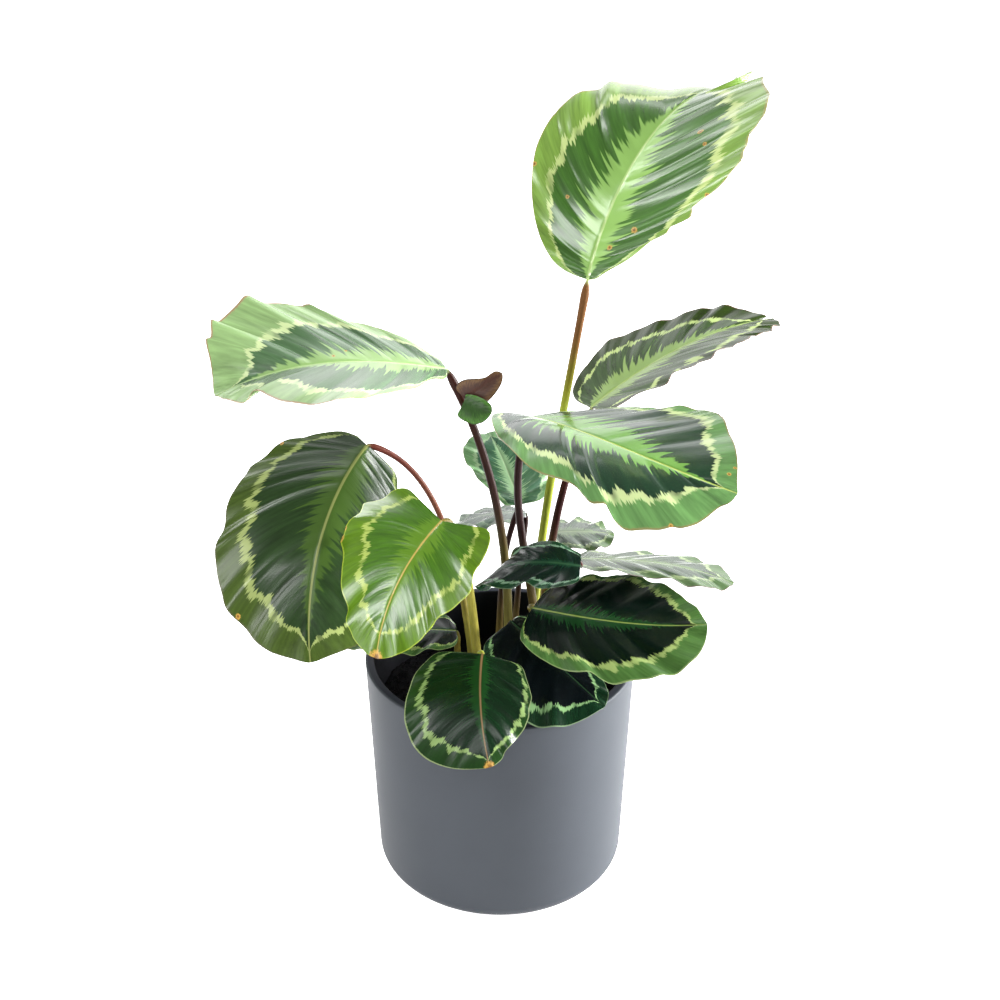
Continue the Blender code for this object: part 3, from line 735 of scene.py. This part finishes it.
def pot_finish():
    """Matte slate glaze with a faint mottle, darker on the lip, with painted shade that makes it
    nearly black inside.
    """
    finish = Finish("pot matte glaze", 0.55, 0.0001)
    finish.shader.inputs["Specular IOR Level"].default_value = 0.20
    place = finish.object_place()
    mottle = finish.noise(place, 45.0, 3.0)
    grit = finish.noise(place, 1500.0, 2.0)
    x, y, z = finish.split(place)
    squares = ((1.0, finish.times(side, side)) for side in (x, y))
    radius = finish.math("SQRT", finish.total(*squares))
    slope = (RIM_RADIUS - BASE_RADIUS) / POT_HEIGHT
    deep = finish.total((-1.0, radius), (slope, z), (1.0, BASE_RADIUS))
    glaze = finish.mix(finish.past(deep, 0.0012, 0.0004), linear(POT_GLAZE), linear(LIP_GLAZE))
    # Painted shade: inside the wall, the glaze gives way to a nearly black colour for the shadow in
    # the pot
    glaze = finish.mix(finish.past(deep, WALL - 0.0004, 0.0003), glaze, linear(INSIDE_PAINTED_SHADE))
    tone = finish.total((0.14, mottle), (0.05, grit), (1.0, 0.905))
    finish.colour(finish.brighter(glaze, tone))
    finish.bump(finish.total((1.0, grit), (0.6, mottle)), 0.25)
    return finish.material


def soil_finish(name, dark, pale):
    """Damp potting soil, from dark to pale."""
    finish = Finish(name, 0.9, 0.0006)
    finish.shader.inputs["Specular IOR Level"].default_value = 0.10
    place = finish.object_place()
    clumps = finish.noise(place, 260.0, 4.0)
    patches = finish.noise(place, 70.0, 2.0)
    share = finish.past(finish.total((0.6, clumps), (0.4, patches)), 0.56, 0.14)
    finish.colour(finish.mix(share, linear(dark), linear(pale)))
    finish.bump(clumps, 0.8)
    return finish.material


def rotated(a, b, angle):
    """a turned towards b and b away from a, both unit vectors and square to each other."""
    c, s = math.cos(angle), math.sin(angle)
    return a * c + b * s, b * c - a * s


def midrib(leaf):
    """Points, tangents, lefts and ups at RIB_STEPS + 1 even stations along the midrib."""
    h, p = math.radians(leaf.heading), math.radians(leaf.rise)
    tangent = np.array([math.cos(p) * math.cos(h), math.cos(p) * math.sin(h), math.sin(p)])
    up = np.array([-math.sin(p) * math.cos(h), -math.sin(p) * math.sin(h), math.cos(p)])
    left, up = rotated(np.cross(up, tangent), up, math.radians(leaf.roll))
    point = np.array(leaf.base)
    rows = [(point, tangent, left, up)]
    for i in range(RIB_STEPS):
        u = (i + 0.5) / RIB_STEPS
        bend = 2 * (leaf.droop[0] * (1 - u) + leaf.droop[1] * u) / RIB_STEPS
        up, tangent = rotated(up, tangent, math.radians(bend))
        tangent, left = rotated(tangent, left, math.radians(leaf.sweep / RIB_STEPS))
        left, up = rotated(left, up, math.radians(3 * leaf.twist * u**2 / RIB_STEPS))
        point = point + tangent * leaf.length / RIB_STEPS
        rows.append((point, tangent, left, up))
    return [np.array(column) for column in zip(*rows)]


def at_station(column, station):
    """A column of the midrib's table at stations that may lie between its rows."""
    return np.stack([np.interp(station, range(RIB_STEPS + 1), row) for row in column.T], -1)


def outline(leaf, theta):
    """The flat blade's margin, as distances along and out; theta runs from 0 to pi at the tip."""
    lobe = leaf.lobe * (np.exp(-(((theta - LOBE_PLACE) / LOBE_SPREAD) ** 2)) - LOBE_AT_BASE)
    along = leaf.length * (0.5 - 0.5 * np.cos(theta) - lobe)
    power = leaf.shape[0] + (1.45 - leaf.shape[0]) * (theta / math.pi) ** 5
    half = 0.5 * leaf.width * np.sin(theta) ** power * (1 + leaf.shape[1] * np.cos(theta))
    return along, half


def vein_point(leaf, s, t):
    """The flat point a share t of the way out along side vein s, 0 at the base and 1 at the tip."""
    start = leaf.length * s**1.8
    along, half = outline(leaf, math.pi * s**0.85)
    return start + (along - start) * t**1.35, half * t**0.95


def ripple(leaf, s, t, side):
    """The margin's waves, which fade out towards the midrib."""
    phase = 0.37 * leaf.seed + (0.0 if side > 0 else 0.45)
    swell = np.sin(math.pi * s) ** 0.5
    main = np.sin(2 * math.pi * (leaf.waves * s + phase))
    other = 0.5 * np.sin(2 * math.pi * (leaf.waves * 1.7 * s + 2.3 * phase + 0.2))
    return leaf.wave * swell * t**2 * (main + other)


def bumped(leaf, s, t, side):
    """How far the margin's own bumps and notches push a point out, back and up."""
    out = back = lift = 0 * s
    for half, place, spread, further, *rest in leaf.bumps:
        if half == side:
            behind, higher = (*rest, 0, 0)[:2]
            swell = np.exp(-(((s - place) / spread) ** 2))
            out = out + further * swell * t
            back = back + behind * swell * t
            lift = lift + higher * swell * t**2
    return out, back, lift


def pleats(leaf, s, t, side):
    """Uneven rounded ridges between the side veins, flat at the midrib and lower at the margin."""
    count, size = leaf.folds
    turn = 2 * math.pi * (0.41 * count * s + 0.62 * leaf.seed + (0.0 if side > 0 else 0.37))
    place = count * s + 0.20 * np.sin(turn)
    ridge = np.abs(np.sin(math.pi * place)) ** 0.8 - 0.6
    minor = 0.14 * (np.abs(np.sin(3 * math.pi * place + 0.4)) ** 0.8 - 0.6)
    height = size * (1 + 0.30 * np.sin(0.83 * turn + 1.3))
    reach = np.sin(math.pi * np.clip(s, 0, 1)) ** 0.6
    return height * reach * t**0.5 * (1.1 - 0.7 * t**3) * (ridge + minor)


def blade_grid(leaf, s, t, side):
    """Points of the blade's middle surface, its normals, and the flat places along and out."""
    x, y = vein_point(leaf, s, t)
    half = leaf.left if side > 0 else leaf.right
    station = np.clip(x / leaf.length, 0, 1)
    if len(half) > 3:
        y = y * (half[3] + (half[4] - half[3]) * station)
    further, behind, higher = bumped(leaf, s, t, side)
    x = x - behind
    y = y + further
    middle, ahead, left, up = (at_station(column, station * RIB_STEPS) for column in midrib(leaf))
    middle = middle + ahead * (np.minimum(x, 0) + np.maximum(x - leaf.length, 0))[..., None]
    reach = 0.5 * leaf.width
    fold = np.radians(half[0] + (half[1] - half[0]) * station)
    curl = np.radians(half[2]) or 1e-4
    turn = fold + curl * y / reach
    out = reach / curl * (np.sin(turn) - np.sin(fold))
    lift = reach / curl * (np.cos(fold) - np.cos(turn))
    normal = np.cos(turn)[..., None] * up - np.sin(turn)[..., None] * left * side
    flat = middle + left * side * out[..., None] + up * lift[..., None]
    relief = ripple(leaf, s, t, side) + higher + pleats(leaf, s, t, side)
    return flat + normal * relief[..., None], normal, x, y


def smoothed(mesh, sharp):
    """The mesh with smooth shading, and edges that bend by more than sharp degrees left sharp."""
    mesh.shade_smooth()
    mesh.set_sharp_from_angle(angle=math.radians(sharp))
    return mesh


def closed_mesh(name, points, faces, layers, slots):
    """A mesh from points and faces, with a UV map for each layer and a slot for each face."""
    mesh = bpy.data.meshes.new(name)
    mesh.from_pydata(points, [], faces)
    for layer, places in layers.items():
        mesh.uv_layers.new(name=layer).data.foreach_set("uv", np.ravel(places).astype(np.float32))
    mesh.polygons.foreach_set("material_index", slots)
    return smoothed(mesh, SHARP_BLADE)


def blade_mesh(leaf, name):
    """A blade with an upper face, an under face with a raised rib, and a thin margin."""
    rows = max(36, round(leaf.length * ROWS_PER_METRE))
    s_line = np.linspace(0, 1, rows + 1)
    t_line = np.linspace(0, 1, COLUMNS + 1) ** COLUMN_CROWDING
    s, t = np.meshgrid(s_line, t_line, indexing="ij")
    size = min(1.0, leaf.length / 0.10)
    half = 0.5 * (MIDDLE_THICKNESS + (MARGIN_THICKNESS - MIDDLE_THICKNESS) * t)
    points, faces, veins, flats, slots = [], [], [], [], []
    flat_places, surfaces, rib_numbers, sheets = {}, {}, {}, {}
    for side in (LEFT, RIGHT):
        middle, normal, x, y = blade_grid(leaf, s, t, side)
        taper = 1 - 0.7 * np.clip(x / leaf.length, 0, 1)
        groove = size * GROOVE_DEPTH * np.exp(-((y / GROOVE_WIDTH) ** 2))
        rib = size * RIB_HEIGHT * taper * np.exp(-((y / RIB_WIDTH) ** 2))
        surfaces[side, UPPER] = middle + normal * (half - groove)[..., None]
        surfaces[side, UNDER] = middle - normal * (half + rib)[..., None]
        flat_places[side] = x, side * y

    for face in (UPPER, UNDER):
        for side in (LEFT, RIGHT):
            numbers = np.zeros((rows + 1, COLUMNS + 1), int)
            for i in range(rows + 1):
                for j in range(COLUMNS + 1):
                    shared = j == 0 or i in (0, rows)
                    if not shared:
                        numbers[i, j] = len(points)
                        points.append(surfaces[side, face][i, j])
                        continue
                    if (face, i) not in rib_numbers:
                        rib_numbers[face, i] = len(points)
                        points.append(surfaces[side, face][i, 0])
                    numbers[i, j] = rib_numbers[face, i]
            sheets[face, side] = numbers

    def add_face(corners, places, side, slot, turned):
        if turned:
            corners, places = corners[::-1], places[::-1]
        keep = [k for k in range(len(corners)) if corners[k] != corners[k - 1]]
        if len(keep) < 3:
            return
        x, y = flat_places[side]
        faces.append([corners[k] for k in keep])
        slots.append(slot)
        for k in keep:
            i, j = places[k]
            veins.append((s_line[i] + (0 if side == LEFT else 2), t_line[j]))
            flats.append((x[i, j], y[i, j]))

    for side in (LEFT, RIGHT):
        for face in (UPPER, UNDER):
            for i in range(rows):
                for j in range(COLUMNS):
                    places = [(i, j), (i + 1, j), (i + 1, j + 1), (i, j + 1)]
                    corners = [int(sheets[face, side][place]) for place in places]
                    add_face(corners, places, side, 0 if face == UPPER else 1, side * face < 0)
        above, below = sheets[UPPER, side][:, -1], sheets[UNDER, side][:, -1]
        for i in range(rows):
            corners = [int(n) for n in (above[i], above[i + 1], below[i + 1], below[i])]
            places = [(i, COLUMNS), (i + 1, COLUMNS), (i + 1, COLUMNS), (i, COLUMNS)]
            add_face(corners, places, side, 0, side == RIGHT)
    return closed_mesh(name, points, faces, {"Veins": veins, "Flat": flats}, slots)


def bezier(points, count):
    a, b, c, d = points
    t = np.linspace(0, 1, count)[:, None]
    return (1 - t) ** 3 * a + 3 * (1 - t) ** 2 * t * b + 3 * (1 - t) * t**2 * c + t**3 * d


def stalk_path(leaf):
    """The stalk's centre line and radii, from the soil to where it runs out into the midrib."""
    start = np.array([*leaf.foot, STALK_START])
    middles, aheads, _, ups = midrib(leaf)
    way = middles[0] - start
    bows = start + way / 3 + leaf.low, start + way * 2 / 3 + leaf.high
    top = middles[0] - aheads[0] * STALK_END_BACK - ups[0] * STALK_END_BELOW
    fine = np.vstack([[*leaf.foot, STALK_FOOT], bezier((start, *bows, top), 400)])
    travelled = np.append(0, np.cumsum(np.linalg.norm(np.diff(fine, axis=0), axis=1)))
    stops = np.linspace(0, travelled[-1], STALK_RINGS)
    line = np.stack([np.interp(stops, travelled, row) for row in fine.T], -1)
    foot, end = leaf.stalk
    share = 1 - stops / stops[-1]
    radii = end + (foot - end) * share**1.5
    radii = radii * (1 + SHEATH_SWELL * np.exp(-(((stops - 0.012) / SHEATH_LENGTH) ** 2)))
    left = stops[-1] - stops
    radii = radii * (1 + JOINT_SWELL * np.exp(-(((left - 0.6 * JOINT_LENGTH) / JOINT_LENGTH) ** 2)))
    radii = np.minimum(radii, STALK_END_RADIUS + STALK_END_SLOPE * left)
    run = []
    for distance, below, _ in RIB_RUN:
        middle, up = (at_station(c, distance / leaf.length * RIB_STEPS) for c in (middles, ups))
        run.append(middle - up * below)
    return np.vstack([line, run]), np.append(radii, [radius for *_, radius in RIB_RUN])


def stalk_mesh(leaf, name):
    """A round stalk swept along its centre line, with closed ends."""
    line, radii = stalk_path(leaf)
    directions = np.gradient(line, axis=0)
    directions[0] = directions[1] = (0, 0, 1)
    directions /= np.linalg.norm(directions, axis=1)[:, None]
    side = np.array([1.0, 0, 0])
    turns = 2 * math.pi * np.arange(STALK_SIDES) / STALK_SIDES
    points = []
    for middle, direction, radius in zip(line, directions, radii):
        side = side - direction * side.dot(direction)
        side /= np.linalg.norm(side)
        other = np.cross(direction, side)
        points += [middle + radius * (math.cos(a) * side + math.sin(a) * other) for a in turns]
    last = len(line) - 1
    faces = [list(range(STALK_SIDES))[::-1]]
    faces.append([last * STALK_SIDES + j for j in range(STALK_SIDES)])
    places = [(0, 0)] * STALK_SIDES + [(1, 0)] * STALK_SIDES
    for i in range(last):
        for j in range(STALK_SIDES):
            k = (j + 1) % STALK_SIDES
            low, high = i * STALK_SIDES, (i + 1) * STALK_SIDES
            faces.append([low + j, low + k, high + k, high + j])
            near, far = j / STALK_SIDES, (j + 1) / STALK_SIDES
            below, above = i / last, (i + 1) / last
            places += [(below, near), (below, far), (above, far), (above, near)]
    return closed_mesh(name, points, faces, {"Skin": places}, [0] * len(faces))


def placed(name, data):
    """A new object at the origin, in the scene."""
    thing = bpy.data.objects.new(name, data)
    bpy.context.scene.collection.objects.link(thing)
    return thing


def add_piece(name, mesh, materials, node):
    """A finished piece in the scene, which stands for a node of the model."""
    mesh.materials.clear()
    for material in materials:
        mesh.materials.append(material)
    piece = placed(name, mesh)
    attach(piece, "root")
    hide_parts(node)


def outer_radius(z):
    return BASE_RADIUS + (RIM_RADIUS - BASE_RADIUS) * z / POT_HEIGHT


def arc(centre, radius, start, end, steps):
    """Points of (radius, height) on a round stretch of a turned outline, angles in degrees."""
    angles = np.radians(np.linspace(start, end, steps))
    return [(centre[0] + radius * math.cos(a), centre[1] + radius * math.sin(a)) for a in angles]


def turned(name, profile, sides):
    """A closed body: the profile of (radius, height) points spun round the Z axis."""
    mesh = bmesh.new()
    line = [mesh.verts.new((radius, 0, height)) for radius, height in profile]
    edges = [mesh.edges.new(pair) for pair in zip(line, line[1:])]
    bmesh.ops.spin(
        mesh, geom=line + edges, cent=(0, 0, 0), axis=(0, 0, 1),
        angle=2 * math.pi, steps=sides, use_merge=True,
    )
    bmesh.ops.remove_doubles(mesh, verts=mesh.verts, dist=1e-6)
    bmesh.ops.recalc_face_normals(mesh, faces=mesh.faces)
    data = bpy.data.meshes.new(name)
    mesh.to_mesh(data)
    mesh.free()
    return smoothed(data, SHARP_POT)


def add_pot():
    low = BASE_CORNER
    lip = LIP_ROUND
    inner = RIM_RADIUS - WALL
    floor_radius = outer_radius(FLOOR) - WALL
    profile = [
        (0, 0),
        *arc((outer_radius(low) - low, low), low, -90, 0, 14),
        *[(outer_radius(z), z) for z in np.linspace(0.02, POT_HEIGHT - 0.004, 12)],
        *arc((RIM_RADIUS - lip, POT_HEIGHT - lip), lip, 0, 90, 6),
        *arc((inner + lip, POT_HEIGHT - lip), lip, 90, 180, 6),
        (inner - 0.0002, POT_HEIGHT - 0.006),
        (floor_radius, FLOOR),
        (0, FLOOR),
    ]
    add_piece("pot_glazed", turned("pot_glazed", profile, POT_SIDES), [pot_finish()], "pot")


def soil_height(x, y):
    """How high the soil stands at a place: low heaps, with small lumps on them."""
    heaps = SOIL_WAVE * (math.sin(90 * x + 1) + math.cos(110 * y + 60 * x))
    lumps = 0.0010 * noise.noise(Vector((x * 160, y * 160, 3.0)))
    crumbs = 0.0006 * noise.noise(Vector((x * 480, y * 480, 8.0)))
    return SOIL_TOP + heaps + lumps + crumbs


def soil_surface(name):
    """The soil's top as a mesh of rings, which the grains are strewn on."""
    edge = outer_radius(SOIL_TOP) - WALL - GAP
    points = [(0, 0, soil_height(0, 0))]
    for ring in range(1, SOIL_RINGS + 1):
        radius = edge * ring / SOIL_RINGS
        for k in range(SOIL_SECTORS):
            turn = 2 * math.pi * k / SOIL_SECTORS
            x, y = radius * math.cos(turn), radius * math.sin(turn)
            points.append((x, y, soil_height(x, y)))
    faces = [[0, 1 + k, 1 + (k + 1) % SOIL_SECTORS] for k in range(SOIL_SECTORS)]
    for ring in range(SOIL_RINGS - 1):
        near, far = 1 + ring * SOIL_SECTORS, 1 + (ring + 1) * SOIL_SECTORS
        for k in range(SOIL_SECTORS):
            other = (k + 1) % SOIL_SECTORS
            faces.append([near + k, far + k, far + other, near + other])
    mesh = bpy.data.meshes.new(name)
    mesh.from_pydata(points, [], faces)
    return mesh


def grain_tree(material):
    """Grains strewn on a surface, each a small lump, turned and sized at random."""
    tree = bpy.data.node_groups.new("Soil grains", "GeometryNodeTree")
    tree.interface.new_socket("Geometry", in_out="INPUT", socket_type="NodeSocketGeometry")
    for label, kind in (
        ("Density", "NodeSocketFloat"), ("Smallest", "NodeSocketFloat"),
        ("Largest", "NodeSocketFloat"), ("Seed", "NodeSocketInt"),
    ):
        tree.interface.new_socket(label, in_out="INPUT", socket_type=kind)
    tree.interface.new_socket("Geometry", in_out="OUTPUT", socket_type="NodeSocketGeometry")
    add = tree.nodes.new
    link = tree.links.new
    given = add("NodeGroupInput").outputs
    strew = add("GeometryNodeDistributePointsOnFaces")
    for label, socket in (("Geometry", "Mesh"), ("Density", "Density"), ("Seed", "Seed")):
        link(given[label], strew.inputs[socket])
    lump = add("GeometryNodeMeshIcoSphere")
    lump.inputs["Radius"].default_value = 1.0
    lump.inputs["Subdivisions"].default_value = 1
    turn, size = add("FunctionNodeRandomValue"), add("FunctionNodeRandomValue")
    turn.data_type = size.data_type = "FLOAT_VECTOR"
    turn.inputs[1].default_value = (2 * math.pi,) * 3
    for label, limit in (("Smallest", size.inputs[0]), ("Largest", size.inputs[1])):
        sides = add("ShaderNodeCombineXYZ")
        for socket, share in zip(sides.inputs, GRAIN_SHARES):
            scaled = add("ShaderNodeMath")
            scaled.operation = "MULTIPLY"
            scaled.inputs[1].default_value = share
            link(given[label], scaled.inputs[0])
            link(scaled.outputs[0], socket)
        link(sides.outputs[0], limit)
    grains = add("GeometryNodeInstanceOnPoints")
    for output, socket in (
        (strew.outputs["Points"], "Points"), (lump.outputs["Mesh"], "Instance"),
        (turn.outputs[0], "Rotation"), (size.outputs[0], "Scale"),
    ):
        link(output, grains.inputs[socket])
    real = add("GeometryNodeRealizeInstances")
    link(grains.outputs["Instances"], real.inputs["Geometry"])
    painted = add("GeometryNodeSetMaterial")
    painted.inputs["Material"].default_value = material
    link(real.outputs["Geometry"], painted.inputs["Geometry"])
    link(painted.outputs["Geometry"], add("NodeGroupOutput").inputs["Geometry"])
    return tree


def strewn(name, surface, tree, values):
    """The plain mesh that a Geometry Nodes tree makes on a surface, with the tree's inputs set."""
    holder = placed(name, surface)
    modifier = holder.modifiers.new("Grains", "NODES")
    modifier.node_group = tree
    for item in tree.interface.items_tree:
        if item.in_out == "INPUT" and item.name in values:
            modifier[item.identifier] = values[item.name]
    holder.update_tag()
    graph = bpy.context.evaluated_depsgraph_get()
    mesh = bpy.data.meshes.new_from_object(holder.evaluated_get(graph))
    holder.modifiers.clear()
    bpy.data.objects.remove(holder)
    mesh.name = name
    return mesh


def add_soil():
    """The soil body with an uneven top, and loose grains on it."""
    surface = soil_surface("soil_bed")
    body = bmesh.new()
    body.from_mesh(surface)
    rim = [edge for edge in body.edges if edge.is_boundary]
    made = bmesh.ops.extrude_edge_only(body, edges=rim)["geom"]
    low = [part for part in made if isinstance(part, bmesh.types.BMVert)]
    bottom = FLOOR + GAP
    share = (outer_radius(bottom) - WALL - GAP) / (outer_radius(SOIL_TOP) - WALL - GAP)
    for vert in low:
        vert.co = (vert.co.x * share, vert.co.y * share, bottom)
    bmesh.ops.holes_fill(body, edges=[edge for edge in body.edges if edge.is_boundary], sides=0)
    bmesh.ops.recalc_face_normals(body, faces=body.faces)
    bed = bpy.data.meshes.new("soil_bed")
    body.to_mesh(bed)
    body.free()
    smoothed(bed, SHARP_SOIL)
    add_piece("soil_bed", bed, [soil_finish("damp soil", (6, 6, 9), (16, 15, 17))], "soil")
    grains = soil_finish("soil grains", (8, 7, 9), (28, 23, 22))
    values = {
        "Density": float(GRAINS_PER_AREA), "Smallest": GRAIN_SIZE[0], "Largest": GRAIN_SIZE[1],
        "Seed": 4,
    }
    mesh = strewn("soil_grains", surface, grain_tree(grains), values)
    add_piece("soil_grains", mesh, [grains], "soil")


def add_leaves():
    for leaf in LEAVES + LOBES:
        stem = "_blade" if leaf.stem else ""
        name = leaf.name + "_veined"
        if leaf in LOBES:
            materials = [lobe_skin(leaf)] * 2
        else:
            materials = [leaf_upper(leaf), leaf_under(leaf)]
        add_piece(name, blade_mesh(leaf, name), materials, leaf.name + stem)
        if leaf.stem:
            name = leaf.name + "_petiole"
            skin = stalk_skin(leaf)
            add_piece(name, stalk_mesh(leaf, name), [skin], leaf.name + "_stalk")


def add_camera():
    data = bpy.data.cameras.new("Camera")
    data.lens = CAMERA_LENS
    data.sensor_width = SENSOR_WIDTH
    camera = placed("Camera", data)
    camera.location = CAMERA_PLACE
    camera.rotation_euler = (math.radians(90 - CAMERA_PITCH), 0, 0)
    bpy.context.scene.camera = camera


def add_softbox(name, place, target, size, power):
    """A rectangular white soft light that faces a point."""
    data = bpy.data.lights.new(name, "AREA")
    data.shape = "RECTANGLE"
    data.size, data.size_y = size
    data.energy = power
    light = placed(name, data)
    light.location = place
    way = Vector(target) - Vector(place)
    light.rotation_euler = way.to_track_quat("-Z", "Y").to_euler()


def add_studio():
    """A white floor that runs out of sight, a dim sky, a pale wall behind, and soft lights."""
    far = FLOOR_REACH
    mesh = bpy.data.meshes.new("floor")
    corners = [(-far, -far, 0), (far, -far, 0), (far, far, 0), (-far, far, 0)]
    mesh.from_pydata(corners, [], [(0, 1, 2, 3)])
    paint = Finish("white floor", 0.9)
    paint.colour(FLOOR_SHADE)
    paint.shader.inputs["Emission Color"].default_value = WHITE
    paint.shader.inputs["Emission Strength"].default_value = FLOOR_GLOW
    mesh.materials.append(paint.material)
    floor = placed("floor", mesh)

    world = bpy.data.worlds.new("studio")
    world.use_nodes = True
    sky = world.node_tree.nodes["Background"].inputs
    sky["Color"].default_value = WHITE
    sky["Strength"].default_value = SKY_GLOW
    bpy.context.scene.world = world

    for name, values in LIGHTS.items():
        add_softbox(name, *values)
    bpy.context.scene.view_settings.view_transform = "Standard"


add_camera()
add_pot()
add_soil()
add_leaves()
add_studio()
